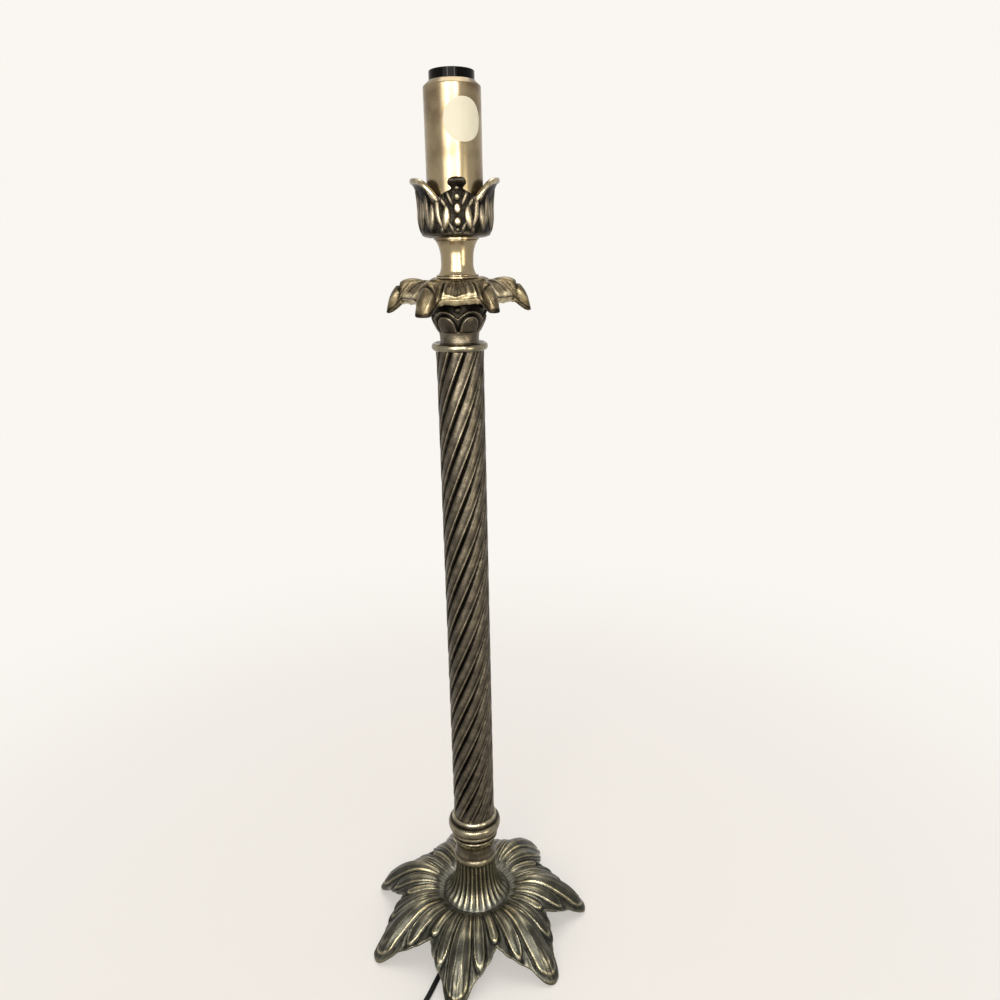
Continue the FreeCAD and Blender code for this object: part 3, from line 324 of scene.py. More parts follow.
@dataclass(frozen=True)
class CastMetal(Finish):
    """A sand-cast metal that was darkened and then rubbed back on its ridges."""
    hollow: str
    body: str
    worn: str
    bright: str
    bloom: str
    rough: tuple[float, float] = (0.5, 0.27)
    blotch_mm: float = 14.0
    grain_mm: float = 1.1
    grain_depth_mm: float = 0.09
    stain: float = 0.5
    speck: float = 0.3
    clean_from: float = 0.4
    stops: tuple[float, float, float, float] = (0.04, 0.36, 0.68, 0.97)

    def material(self) -> bpy.types.Material:
        """Builds it: the wear of each point and some noise choose the colour and the polish.

        Returns:
            The material.
        """
        material, tree, place = self.start()
        marks = add_node(tree, "Attribute", {"attribute_name": "finish"})
        parts = add_node(tree, "SeparateColor", None, Color=marks.outputs["Color"]).outputs
        blotch = self.noise(tree, place, self.blotch_mm)
        grain = self.noise(tree, place, self.grain_mm, 2.0)
        add = {"operation": "MULTIPLY_ADD"}
        stains = add_node(tree, "Math", add, _0=blotch, _1=self.stain, _2=parts[0])
        specks = add_node(tree, "Math", add, _0=grain, _1=self.speck, _2=stains)
        wear = add_node(tree, "Math", {"operation": "SUBTRACT", "use_clamp": True}, _0=specks,
                        _1=self.clean_from)
        stops = list(zip(self.stops, (self.hollow, self.body, self.worn, self.bright)))
        colour = add_node(tree, "ValToRGB", {"stops": stops}, Fac=wear)
        veil = add_node(tree, "Math", {"operation": "MULTIPLY"}, _0=parts[1], _1=blotch)
        faded = add_node(tree, "Mix", {"data_type": "RGBA"}, _0=veil, _6=colour, _7=linear(self.bloom))
        rough = add_node(tree, "MapRange", None, Value=wear, To_Min=self.rough[0], To_Max=self.rough[1])
        relief = add_node(tree, "Bump", None, Strength=0.7, Distance=self.grain_depth_mm * MM, Height=grain)
        shader = add_node(tree, "BsdfPrincipled", None, Base_Color=faded.outputs[2], Metallic=1.0,
                          Roughness=rough, Normal=relief)
        add_node(tree, "OutputMaterial", None, Surface=shader)
        return material


@dataclass(frozen=True)
class TurnedMetal(Finish):
    """A metal turned or drawn to a satin face, with tarnish in soft blotches."""
    clean: str
    tarnish: str
    rough: tuple[float, float] = (0.3, 0.42)
    line_mm: float = 0.9
    blotch_mm: float = 20.0
    tarnish_share: float = 0.45
    tarnish_edge: float = 0.25
    line_depth_mm: float = 0.02
    stretch: tuple[float, float, float] = (0.06, 0.06, 1.0)

    def material(self) -> bpy.types.Material:
        """Builds it: fine rings across the axis for the tool's marks, and blotches for the tarnish.

        Returns:
            The material.
        """
        material, tree, place = self.start()
        rings = add_node(tree, "Mapping", None, Vector=place, Scale=self.stretch).outputs[0]
        lines = self.noise(tree, rings, self.line_mm, 2.0)
        blotch = self.noise(tree, place, self.blotch_mm, 5.0)
        share = add_node(tree, "MapRange", None, Value=blotch, From_Min=self.tarnish_share,
                         From_Max=self.tarnish_share + self.tarnish_edge)
        colour = add_node(tree, "Mix", {"data_type": "RGBA"}, _0=share, _6=linear(self.clean),
                          _7=linear(self.tarnish))
        rough = add_node(tree, "MapRange", None, Value=share, To_Min=self.rough[0], To_Max=self.rough[1])
        relief = add_node(tree, "Bump", None, Strength=0.25, Distance=self.line_depth_mm * MM, Height=lines)
        shader = add_node(tree, "BsdfPrincipled", None, Base_Color=colour.outputs[2], Metallic=1.0,
                          Roughness=rough, Normal=relief)
        add_node(tree, "OutputMaterial", None, Surface=shader)
        return material


@dataclass(frozen=True)
class Moulded(Finish):
    """A moulded plastic, resin, fibre or paper: a skin with a soft mottle and a fine texture."""
    light: str
    dark: str
    ior: float = 1.5
    rough: tuple[float, float] = (0.35, 0.45)
    mottle_mm: float = 6.0
    texture_mm: float = 0.5
    texture_depth_mm: float = 0.02
    gloss: float = 0.5

    def material(self) -> bpy.types.Material:
        """Builds it: the mottle changes the colour and the polish a little.

        Returns:
            The material.
        """
        material, tree, place = self.start()
        mottle = self.noise(tree, place, self.mottle_mm)
        texture = self.noise(tree, place, self.texture_mm, 2.0)
        colour = add_node(tree, "Mix", {"data_type": "RGBA"}, _0=mottle, _6=linear(self.dark),
                          _7=linear(self.light))
        rough = add_node(tree, "MapRange", None, Value=mottle, To_Min=self.rough[0], To_Max=self.rough[1])
        depth = self.texture_depth_mm * MM
        relief = add_node(tree, "Bump", None, Strength=0.4, Distance=depth, Height=texture)
        shader = add_node(tree, "BsdfPrincipled", None, Base_Color=colour.outputs[2], Roughness=rough,
                          IOR=self.ior, Normal=relief, Specular_IOR_Level=self.gloss)
        add_node(tree, "OutputMaterial", None, Surface=shader)
        return material


@dataclass
class Finishes:
    """All the lamp's finishes, each built once."""
    built: dict[str, bpy.types.Material] = field(default_factory=dict)

    # Yellow brass, sand-cast, stained near black and rubbed back: dark pits, pale yellow ridges.
    cast_brass = CastMetal("Cast_brass_antiqued", "#14120f", "#4a443a", "#857a66", "#e8dcb8", "#6c7065",
                           rough=(0.46, 0.24), blotch_mm=7.0)
    # The same metal on the base, where handling has left it greyer, with a dusty bloom in the trough.
    base_brass = CastMetal("Cast_brass_grey_patina", "#12120f", "#3d3c35", "#79735f", "#dccb9a", "#86857a",
                           rough=(0.4, 0.2), blotch_mm=10.0)
    # Cast brass with less stain left on it: brown in its hollows, warm and pale on its folds.
    rubbed_brass = CastMetal("Cast_brass_rubbed", "#211c15", "#655a45", "#a09272", "#efe2b8", "#7c7460",
                             rough=(0.42, 0.22), blotch_mm=6.0)
    # Yellow brass, drawn and turned: a broad pale highlight over brown tarnish.
    satin_brass = TurnedMetal("Drawn_brass_satin", "#928469", "#675844", (0.22, 0.32))
    # Cast brass that was turned on a lathe and has gone grey-brown: crisp highlights on its beads.
    ring_brass = CastMetal("Cast_brass_turned", "#171510", "#514a3d", "#8b8470", "#e2d7b4", "#77776c",
                           rough=(0.34, 0.18), blotch_mm=8.0, grain_depth_mm=0.04)
    # Phenolic resin, compression moulded: near black, with sharp highlights.
    phenolic = Moulded("Phenolic_moulded", "#0b0a0a", "#050505", 1.6, (0.06, 0.1), 5.0, 0.6, 0.003, 0.05)
    # Uncoated paper: cream, with faint fibres.
    paper = Moulded("Paper_uncoated", "#f8f3dc", "#f0ead0", 1.5, (0.6, 0.75), 4.0, 0.5, 0.02)
    # Nickel-plated brass, rolled: a pale grey inner shell.
    shell_metal = TurnedMetal("Nickel_plated_shell", "#c9c6bd", "#a5a197", (0.2, 0.32), 0.5, 6.0)
    # Vulcanised fibre, punched: brick red and dull.
    fibre = Moulded("Vulcanised_fibre", "#7c3b2c", "#69301f", 1.5, (0.65, 0.8), 3.0, 0.4, 0.03)
    # Phosphor bronze and brass contacts, stamped: clean yellow with a fine grain.
    contact_brass = TurnedMetal("Contact_brass_stamped", "#d5b66f", "#a98b4c", (0.22, 0.34), 0.4, 5.0)
    # Zinc-plated steel, rolled and stamped: pale grey with a faint yellow cast.
    zinc_steel = TurnedMetal("Zinc_plated_steel", "#b4b2a6", "#8e8b7d", (0.28, 0.42), 0.5, 7.0)
    # Nylon or ABS, injection moulded black: a fine spark texture.
    black_plastic = Moulded("ABS_moulded_black", "#1b1b1c", "#131314", 1.5, (0.34, 0.44), 5.0, 0.5, 0.02)
    # Plasticised PVC, extruded over two wires: black, smooth and slightly waxy.
    cord_pvc = Moulded("PVC_extruded_black", "#161616", "#0f0f10", 1.53, (0.3, 0.4), 9.0, 0.8, 0.01)

    def get(self, name: str) -> bpy.types.Material:
        """Builds a finish on its first use, and keeps it.

        Args:
            name: the finish's name in this class.
        Returns:
            Its material.
        """
        if name not in self.built:
            self.built[name] = getattr(self, name).material()
        return self.built[name]


@dataclass
class Builder:
    finishes: Finishes

    def place(self, name: str, mesh: bpy.types.Mesh, finish: str, slot: Slot,
              *nodes: str) -> bpy.types.Object:
        """Adds a piece that rides on the lamp.

        Args:
            name: the piece's name.
            mesh: its mesh, in the row frame.
            finish: the name of its finish.
            slot: the record's slot for it; not used.
            nodes: the CAD nodes that it stands for.
        Returns:
            The object.
        """
        piece = bpy.data.objects.new(name, mesh)
        bpy.context.scene.collection.objects.link(piece)
        piece.data.materials.append(self.finishes.get(finish))
        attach(piece, Body.LAMP.value)
        if nodes:
            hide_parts(*nodes)
        LOG.info("%s: %d points, %s", name, len(mesh.vertices), finish)
        return piece


# ---------------------------------------------------------------- base
@dataclass
class Base:
    """The cast base: a fluted trumpet that spreads into seven ribbed leaves."""
    leaves: int = 7
    turn: float = -360.0 / 56
    wall: float = 3.0
    flutes: int = 28
    flute_depth: float = 1.15
    columns_per_leaf: int = 140
    trumpet: Points = ((17.5, 73.0), (18.0, 62.0), (19.9, 50.0), (24.3, 40.0), (30.7, 33.7))
    rim_radius: Points = ((-2.6, 104.1), (0.0, 104.9), (2.6, 104.1), (4.6, 101.1), (6.6, 96.2), (9.0, 89.6),
                          (12.0, 86.6), (16.0, 81.6), (20.8, 76.0), (25.7143, 69.2))
    rim_height: Points = ((-2.6, 5.0), (0.0, 4.6), (2.6, 5.0), (4.6, 6.2), (6.6, 9.6), (9.0, 15.4),
                          (12.0, 18.6), (16.0, 22.8), (20.8, 27.4), (25.7143, 32.0))
    rises: tuple[float, float] = (10.0, 4.5)
    foot: tuple[float, float] = (3.2, 6.0)
    lip: float = 0.55
    tongue_line: float = 0.62
    # radii and height of the web inside the trumpet's top
    web: tuple[float, float, float] = (14.5, 5.15, 68.0)
    # a leaf's tongues: ribs off its middle, (distance, half width) pairs, where the round end starts and its
    # length, height
    tongues: tuple = ((0, ((30, 1.7), (45, 3.6), (60, 6.2), (76, 8.6), (90, 9.2)), (90, 11.5), 1.5),
                      (1, ((30, 1.5), (45, 3.0), (58, 4.0), (72, 4.3)), (72, 9.5), 1.0),
                      (2, ((30, 1.5), (45, 2.7), (58, 3.2), (61, 3.3)), (61, 4.6), 1.5))
    inner_line: tuple = (((30, 0.5), (60, 1.9), (90, 3.6)), (88, 8.0), 0.0)
    # what each mark adds to the height, and to the wear
    carved: dict[str, float] = field(default_factory=lambda: {
        "body": 1.0, "line": 0.6, "groove": -0.9, "inner": 0.3})
    rubbed: dict[str, float] = field(default_factory=lambda: {
        "body": 0.05, "line": 0.5, "groove": -0.26, "fine": 0.4, "inner": 0.2, "middle": 0.1, "pads": 0.18})
    plain_wear: float = 0.2
    neck_rows: int = 34
    leaf_rows: int = 96
    inner_rows: int = 56
    edge_rows: int = 7

    def tongue(self, off: np.ndarray, radius: np.ndarray, widths: Points, end: tuple[float, float],
               crown: float) -> tuple[np.ndarray, np.ndarray, np.ndarray]:
        """One raised tongue that widens outwards and ends in a round.

        Args:
            off: degrees off the tongue's middle.
            radius: distance from the lamp's axis.
            widths: (distance, half width) pairs.
            end: where its round end starts, and how long that is.
            crown: its height.
        Returns:
            Its height, and the strength of the thin line round it and of the groove beside that.
        """
        a = np.radians(off)
        along, across = radius * np.cos(a), np.abs(radius * np.sin(a))
        half = through(widths, np.minimum(along, end[0]))
        q = np.hypot(across / half, np.maximum(along - end[0], 0.0) / end[1])
        edge = (q - 1.0) * half
        return crown * np.clip(1 - q * q, 0, 1) ** 0.7, bump(edge, self.tongue_line), bump(edge - 1.5, 0.9)

    def relief(self, off: np.ndarray, radius: np.ndarray) -> tuple[np.ndarray, np.ndarray]:
        """The ornament on one leaf: long smooth tongues, thin lines round them, and fine ribs at their roots.

        Args:
            off: degrees off the leaf's middle.
            radius: distance from the lamp's axis.
        Returns:
            Height in millimetres, and wear from 0 to 1.
        """
        rib = 360.0 / self.flutes
        parts = [self.tongue(off - k * rib, radius, widths, end, crown)
                 for ribs, widths, end, crown in self.tongues for k in sorted({-ribs, ribs})]
        body, line, groove = (np.max([p[k] for p in parts], axis=0) for k in range(3))
        start = step(33.0, 42.0, radius)
        fine = np.abs(np.cos(np.radians(off) * self.flutes)) ** 2.2 * (1 - step(50.0, 74.0, radius))
        inner = self.tongue(off, radius, *self.inner_line)[1] * step(58, 70, radius)
        pads = 0.5 * np.sin(np.radians(np.abs(off)) * 84) ** 2 * step(82.0, 90.0, radius)
        marks = {"body": body, "line": line, "groove": groove, "inner": inner, "fine": fine * start,
                 "middle": bump(radius - 60.0, 13.0) * body, "pads": pads}
        height = start * mixed(marks, self.carved) + 0.8 * (fine - 0.4) * start + pads
        return height, self.plain_wear + mixed(marks, self.rubbed)

    def skins(self) -> tuple[np.ndarray, np.ndarray, np.ndarray]:
        """The whole casting as one closed grid.

        Returns:
            The points, their wear and their bloom.
        """
        angle, off = round_leaves(self.leaves, self.columns_per_leaf, self.turn)
        side, sector, necks = np.abs(off), 360.0 / self.leaves, self.neck_rows
        rim_r, rim_z = through(self.rim_radius, side), through(self.rim_height, side)
        flank = step(6.0, 8.5, side) * (1 - step(23.5, 25.7, side))
        rim_r = rim_r + flank * (1.3 * np.abs(np.sin(math.pi * (side - 6.0) / 5.6)) - 0.9)
        top, low = self.rises
        rise = low + (top - low) * (1 + np.cos(math.pi * side * 2 / sector)) / 2
        neck = flowing(self.trumpet, necks)
        valley_r, valley_z = self.trumpet[-1]
        t = np.linspace(0.0, 1.0, self.leaf_rows)[1:, None] ** 0.97
        leaf_r = valley_r + t * (rim_r - valley_r)
        leaf_z = valley_z + (rim_z - valley_z) * t ** 3 + rise * np.sin(math.pi * t ** 0.85)
        radius = np.concatenate((np.repeat(neck[:, :1], len(off), 1), leaf_r))
        z = np.concatenate((np.repeat(neck[:, 1:], len(off), 1), leaf_z))
        normal_r, normal_z = normals(radius, z)
        height, wear = self.relief(off[None, :], radius)
        fluted = np.abs(np.cos(np.radians(off) * self.flutes / 2))[None, :] ** 1.8
        on_neck = np.zeros(len(radius))
        on_neck[:necks] = 1 - step(27.5, 30.7, neck[:, 0]) * 0.9
        on_neck[:4] *= np.linspace(0.2, 1, 4)
        on_neck = on_neck[:, None]
        is_neck = (np.arange(len(radius)) < necks)[:, None]
        height = np.where(is_neck, self.flute_depth * on_neck * (fluted - 0.6), height)
        wear = np.where(is_neck, 0.06 + 0.6 * fluted * on_neck, wear)
        near_rim = np.zeros_like(radius)
        near_rim[necks:] = step(0.93, 1.0, t)
        height = height * (1 - near_rim)
        outer_r, outer_z = radius + normal_r * height, np.maximum(z + normal_z * height, 0.4)
        foot = self.foot[0] * np.maximum(0.0, 1 - side / self.foot[1])
        rows = np.unique(np.linspace(0, len(radius) - 1, self.inner_rows).astype(int))[::-1]
        fall = np.concatenate((np.zeros(necks), t[:, 0] ** 8))[:, None] * foot[None, :]
        inner_r = np.minimum((radius - normal_r * self.wall)[rows], rim_r[None, :])
        inner_z = np.maximum((z - normal_z * self.wall - fall)[rows], 0.0)
        web_r, hole, web_z = self.web
        inner_z = np.where(z[rows] > 60.0, np.minimum(inner_z, web_z), inner_z)
        bulge = np.radians(np.linspace(80.0, -80.0, self.edge_rows))[:, None]
        middle, half = (outer_z[-1] + inner_z[0]) / 2, (outer_z[-1] - inner_z[0]) / 2
        edge = rim_r + self.lip * np.cos(bulge), middle + half * np.sin(bulge)
        full_r, full_z = joined([(outer_r, outer_z), edge, (inner_r, inner_z)],
                                [(web_r, web_z), (hole, web_z), (hole, self.trumpet[0][1])])
        full_wear, bloom = np.full_like(full_r, self.plain_wear), np.full_like(full_r, 0.7)
        out, end = len(outer_r), len(outer_r) + self.edge_rows
        full_wear[:out] = wear + 0.2 * near_rim
        full_wear[out:end] = 0.5
        bloom[:out] = 1.1 * bump(radius - 32.0, 5.5) * (1 - is_neck * 0.4) + 0.12 * (1 - wear)
        bloom[out:end] = 0.0
        return polar(full_r, angle[None, :], full_z), np.clip(full_wear, 0, 1), np.clip(bloom, 0, 1)

    def build(self, builder: Builder) -> None:
        """Adds the casting.

        Args:
            builder: puts the pieces in the scene.
        """
        points, wear, bloom = self.skins()
        mesh = grid_mesh("base_leaves", points, wear, bloom)
        builder.place("Base_leaves", mesh, "base_brass", Slot.CAST, "base_casting")


# ---------------------------------------------------------------- column
@dataclass
class ColumnStack:
    """What stands between base and head: collar, beaded ring, twisted column and its top ring.

    A thin line is cast along each ribbon, near the edge of its groove.
    """
    rod_hole: float = 5.15
    collar: Points = ((17.9, 73.0), (18.9, 73.4), (19.5, 74.6), (19.6, 76.6), (19.1, 78.4), (18.5, 79.4),
                      (18.3, 82.0), (17.9, 86.0), (17.9, 89.6), (18.3, 92.6), (18.7, 94.6), (19.1, 96.0))
    collar_bore: tuple[float, float] = (14.7, 77.0)
    # beads of the lower ring: radius, height, half height
    ring_beads: tuple = ((20.9, 98.6, 1.6), (21.8, 104.0, 2.1), (23.9, 111.0, 3.9))
    ring_lip: Points = ((21.0, 115.6), (20.6, 117.0), (20.3, 119.0), (19.7, 120.6), (19.0, 121.0))
    ring_bores: tuple[float, float] = (13.9, 14.7)
    floor: tuple[float, float] = (117.0, 127.0)
    bottom: float = 121.0
    top: float = 544.4
    radius: float = 18.4
    bore: float = 14.2
    ribbons: int = 10
    leads: tuple[float, float] = (236.0, 280.0)
    phase: float = 0.0
    line_at: float = 0.8
    # what each mark takes off the radius, and adds to the wear; the strip darkened beside each ribbon's line
    # is painted shade, and the lighter strip across each ribbon is a painted highlight
    carved: dict[str, float] = field(default_factory=lambda: {
        "hollow": 1.75, "fallen": 0.8, "line": -0.3, "dip_and_painted_shade": 0.2})
    rubbed: dict[str, float] = field(default_factory=lambda: {
        "dark": -0.32, "line": 0.5, "dip_and_painted_shade": -0.12, "painted_sheen": 0.14})
    plain_wear: float = 0.26
    top_ring: tuple[float, float] = (21.8, 550.8)

    def collar_outline(self) -> np.ndarray:
        """The collar's closed outline.

        Returns:
            Its (radius, height) rows, without the first again.
        """
        bore, floor = self.collar_bore
        low, high = self.collar[0][1], self.collar[-1][1]
        inner = np.array([(bore, high), (bore, floor), (self.rod_hole, floor), (self.rod_hole, low)])
        return np.concatenate((flowing(self.collar, 40), inner))

    def ring_outline(self) -> np.ndarray:
        """The beaded ring's closed outline, with the lip that the column stands in.

        Returns:
            Its (radius, height) rows, without the first again.
        """
        start = self.collar[-1]
        beads = [bead(radius - 1.5, radius, z, half, 14) for radius, z, half in self.ring_beads]
        (narrow, wide), (under, over) = self.ring_bores, self.floor
        inner = np.array([(narrow, self.bottom), (narrow, over), (self.rod_hole, over),
                          (self.rod_hole, under), (wide, under), (wide, start[1])])
        return np.concatenate([[start], *beads, flowing(self.ring_lip, 12), inner])

    def column_mesh(self) -> bpy.types.Mesh:
        """The hollow column: broad rounded ribbons with narrow grooves, wound right-handed.

        Returns:
            Its mesh.
        """
        rows, columns = 300, 360
        z = np.linspace(self.bottom, self.top, rows)
        share = (z - self.bottom) / (self.top - self.bottom)
        low, high = (360.0 / lead for lead in self.leads)
        twist = (self.top - self.bottom) * (low * share + (high - low) * share ** 2 / 2)
        angle = np.arange(columns)[None, :] * 360.0 / columns
        across = ((angle - twist[:, None] - self.phase) * self.ribbons / 360.0) % 1.0
        off = np.abs(across - 0.5) * 2
        fade = (step(self.bottom, self.bottom + 16.0, z) * 0.8 + 0.2)[:, None]
        hollow = bump(1.0 - off, 0.2)
        # beside the real grooves and lines: a shallow dip by each line that the colour darkens as painted
        # shade, and a painted highlight strip across each ribbon
        marks = {"hollow": hollow, "fallen": 0.55 * off ** 2.4, "line": bump(across - self.line_at, 0.035),
                 "dip_and_painted_shade": bump(across - self.line_at + 0.13, 0.07), "dark": hollow * fade,
                 "painted_sheen": bump(across - 0.4, 0.16)}
        flare = 0.5 * step(self.top - 9.0, self.top, z)[:, None]
        radius = self.radius - fade * mixed(marks, self.carved) + flare
        # wear, with painted shade beside each line and a painted highlight across each ribbon
        wear = self.plain_wear + mixed(marks, self.rubbed)
        points = polar(radius, angle, z[:, None])
        inner = polar(np.full((2, columns), self.bore), angle, np.array([[self.top], [self.bottom]]))
        grid = np.concatenate((points, inner))
        return grid_mesh("column", grid, np.concatenate((wear, np.full((2, columns), 0.2))))

    def build(self, builder: Builder) -> None:
        """Adds the four pieces.

        Args:
            builder: puts the pieces in the scene.
        """
        low, (ring_r, high) = self.top, self.top_ring
        ring = np.concatenate((bead(ring_r - 3.2, ring_r, (low + high) / 2, (high - low) / 2, 24),
                               [(self.bore, high), (self.bore, low)]))
        collar = spun("collar", self.collar_outline(), wear=0.4)
        beaded = spun("beaded_ring", self.ring_outline(), wear=0.32)
        for name, mesh, finish, node in (
                ("Collar", collar, "ring_brass", "base_collar"),
                ("Beaded_ring", beaded, "ring_brass", "base_ring"),
                ("Twisted_column", self.column_mesh(), "cast_brass", "twisted_column"),
                ("Column_ring", spun("column_ring", ring, wear=0.38), "ring_brass", "column_ring")):
            builder.place(name, mesh, finish, Slot.CAST, node)


# ---------------------------------------------------------------- head
@dataclass
class Head:
    """The capital, the drip pan of six leaves and the neck above it."""
    rod_hole: float = 5.15
    facing: float = 3.2
    capital: Points = ((15.4, 550.8), (15.1, 551.6), (15.0, 553.4), (15.3, 556.6), (15.9, 558.6),
                       (17.4, 561.4), (19.3, 565.2), (20.6, 568.4), (21.2, 572.4), (21.25, 576.0),
                       (20.6, 580.0), (19.2, 585.0), (17.5, 590.0))
    # the bell's bore, over the column's top: radii, and heights from the bottom up
    capital_bore: tuple[float, float] = (11.3, 13.9)
    capital_steps: tuple = (538.8, 550.8, 582.8, 586.0, 590.0)
    # on the bell: a palmette's panel (height, half height, half width), the arch over it (height, how far it
    # sags at this distance across), and the dart between two (height, half height, half width)
    panel: tuple[float, float, float] = (563.5, 7.2, 7.0)
    arch: tuple[float, float, float] = (574.6, 6.2, 11.0)
    dart: tuple[float, float, float] = (576.0, 2.4, 2.8)
    # what each mark adds to the height, and to the wear; on the bell, the over mark darkens the band above
    # the arches as painted shadow under the drip pan
    bell_carved: dict[str, float] = field(default_factory=lambda: {
        "panel": 0.5, "line": 0.3, "groove": -0.9, "arch": 0.9, "dome": 1.1, "over": -0.5})
    bell_wear_and_shadow: dict[str, float] = field(default_factory=lambda: {
        "panel": 0.05, "line": 0.3, "groove": -0.3, "arch": 0.42, "dome": 0.3, "over": -0.24})
    pan_carved: dict[str, float] = field(default_factory=lambda: {
        "bulge": 1.7, "hollow": 0.6, "border": 0.6, "crease": -1.3, "fan": 0.8, "lines": 0.14})
    pan_rubbed: dict[str, float] = field(default_factory=lambda: {
        "bulge": 0.3, "hollow": 0.06, "border": 0.3, "crease": -0.3, "fan": 0.2, "lines": 0.06})
    plain_wear: float = 0.24
    palmettes: int = 6
    pan_leaves: int = 6
    pan_turn: float = 33.2
    hub: float = 17.0
    pan_top: float = 597.5
    pan_wall: float = 2.6
    pan_sag: float = 1.8
    # each leaf's tip, from the front right one round to the front left one: width, length, lean in degrees
    pan_tips: tuple = ((0.66, 0.95, 1.6), (0.7, 1.0, 1.0), (0.85, 1.0, 0.0),
                       (0.9, 1.0, 0.0), (0.74, 1.02, -1.0), (0.96, 1.05, 3.2))
    # degrees off a leaf's middle: the rim's radius, and how far it hangs below the top
    pan_radius: Points = ((-4.5, 54.7), (0.0, 55.3), (4.5, 54.7), (6.6, 53.4), (8.2, 50.8), (9.6, 47.8),
                          (11.4, 45.4), (14.0, 43.8), (18.0, 42.6), (24.0, 41.6), (30.0, 41.2))
    pan_drop: Points = ((-4.5, -22.8), (0.0, -23.0), (4.5, -22.8), (6.6, -22.3), (8.2, -20.6), (9.6, -18.2),
                        (11.4, -16.0), (14.0, -14.2), (18.0, -13.2), (24.0, -13.2), (30.0, -13.5))
    # along each leaf: the bulge, and the tongue past the crease (distance out, half length, half width)
    pan_bulge: tuple[float, float, float] = (35.5, 9.5, 7.6)
    pan_tongue: tuple[float, float, float] = (49.5, 6.2, 7.4)
    pan_crease: float = 45.0
    # the foot that stands in the capital: radius, lower end
    pan_foot: tuple[float, float] = (17.3, 590.0)
    pan_lip: float = 2.4
    pan_fall: tuple[float, float] = (7.0, 2.2)
    pan_rows: int = 72
    per_leaf: int = 120
    edge_rows: int = 5
    spool: Points = ((14.3, 600.9), (13.0, 603.4), (12.15, 608.4), (12.4, 614.9), (13.7, 621.0),
                     (15.4, 624.6))
    # its beads, two below and one above: inner radius, radius, height, half height, points
    spool_beads: tuple = ((15.9, 16.5, 598.6, 1.0, 8), (15.3, 16.1, 600.2, 0.6, 6),
                          (15.3, 15.8, 625.1, 0.4, 6))
    flange: Points = ((16.9, 625.7), (16.9, 627.0))

    def capital_mesh(self) -> bpy.types.Mesh:
        """The bell with six arched palmettes and a dart between each two.

        Returns:
            Its mesh.
        """
        outline = flowing(self.capital, 90)
        columns = 432
        angle = np.arange(columns) * 360.0 / columns
        pitch = 360.0 / self.palmettes
        off = ((angle - self.facing) / pitch % 1.0 - 0.5) * pitch
        radius, z = outline[:, :1], outline[:, 1:]
        across = np.radians(off)[None, :] * radius
        (panel_z, panel_up, panel_half), (arch_z, sag, at) = self.panel, self.arch
        q = np.hypot(across / panel_half, np.clip((z - panel_z) / panel_up, 0.0, None))
        rows = step(panel_z - 5.0, panel_z - 3.9, z)
        panel = np.clip(1 - q ** 4, 0.0, 1.0)
        line, groove = bump((q - 0.96) * panel_half, 0.55), bump((q - 1.2) * panel_half, 0.85)
        arch = bump(z - arch_z + sag * (across / at) ** 2, 0.85)
        aside = np.radians(np.abs(np.abs(off) - pitch / 2))[None, :] * radius
        dart_z, dart_up, dart_half = self.dart
        dome = np.clip(1 - np.hypot(aside / dart_half, (z - dart_z) / dart_up), 0.0, 1.0) ** 0.6
        # over: a shallow recess above the arches, which the colour darkens as painted shadow under the drip
        # pan
        over = step(574.0, 577.5, z + sag * (across / at) ** 2) * (1 - step(584.0, 588.0, z))
        marks = {"panel": panel, "line": line, "groove": groove, "arch": arch, "dome": dome, "over": over}
        height = rows * mixed(marks, self.bell_carved)
        # wear, with painted shadow in the band above the arches
        wear = self.plain_wear + rows * mixed(marks, self.bell_wear_and_shadow) + (1 - rows) * 0.16
        narrow, wide = self.capital_bore
        skirt, low, shelf, under, top = self.capital_steps
        inner = [(self.rod_hole, top), (self.rod_hole, under), (narrow, shelf), (narrow, skirt),
                 (wide, skirt), (wide, low)]
        full_r, full_z = joined([(radius + height, z + np.zeros((1, columns)))], inner)
        full_wear = np.full_like(full_r, 0.15)
        full_wear[:len(wear)] = wear
        return grid_mesh("capital", polar(full_r, angle[None, :], full_z), np.clip(full_wear, 0, 1))

    def pan_mesh(self) -> bpy.types.Mesh:
        """The drip pan: leaves that droop at their tips, with folds and a rolled rim between them.

        Returns:
            Its mesh.
        """
        rows, sector = self.pan_rows, 360.0 / self.pan_leaves
        angle, off = round_leaves(self.pan_leaves, self.per_leaf, self.pan_turn)
        leaf = np.floor(np.arange(len(off)) / self.per_leaf + 0.5).astype(int) % self.pan_leaves
        width, length, lean = np.array(self.pan_tips)[leaf].T
        near_tip = 1 - step(9.0, 19.0, np.abs(off))
        side = np.abs(off - lean * near_tip) * (1 + (1 / width - 1) * near_tip)
        rim_r = through(self.pan_radius, side)
        rim_z = through(self.pan_drop, side) * (1 + (length - 1) * near_tip)
        share = np.minimum(side * 2 / sector, 1.0)
        t = (1 - (1 - np.linspace(0.0, 1.0, rows)) ** 1.5)[:, None]
        fall = self.pan_fall[0] + (self.pan_fall[1] - self.pan_fall[0]) * share
        radius = self.hub + t * (rim_r - self.hub)
        z = self.pan_top + rim_z * t ** fall + 1.5 * (1 - share) * np.sin(math.pi * t)
        z = z - self.pan_sag * step(0.0, 0.25, t) * (1 - step(0.8, 1.0, t))
        along, across = radius * np.cos(np.radians(off)), radius * np.sin(np.radians(side))
        (bulge_at, bulge_long, bulge_wide), (at, long, wide) = self.pan_bulge, self.pan_tongue
        bulge = np.clip(1 - np.hypot(across / bulge_wide, (along - bulge_at) / bulge_long) ** 2, 0, 1) ** 0.6
        half_width = wide - 0.12 * np.clip(along - self.pan_crease + 1.0, 0, 12)
        tongue = np.hypot(across / half_width, np.clip((along - at) / long, 0, 2))
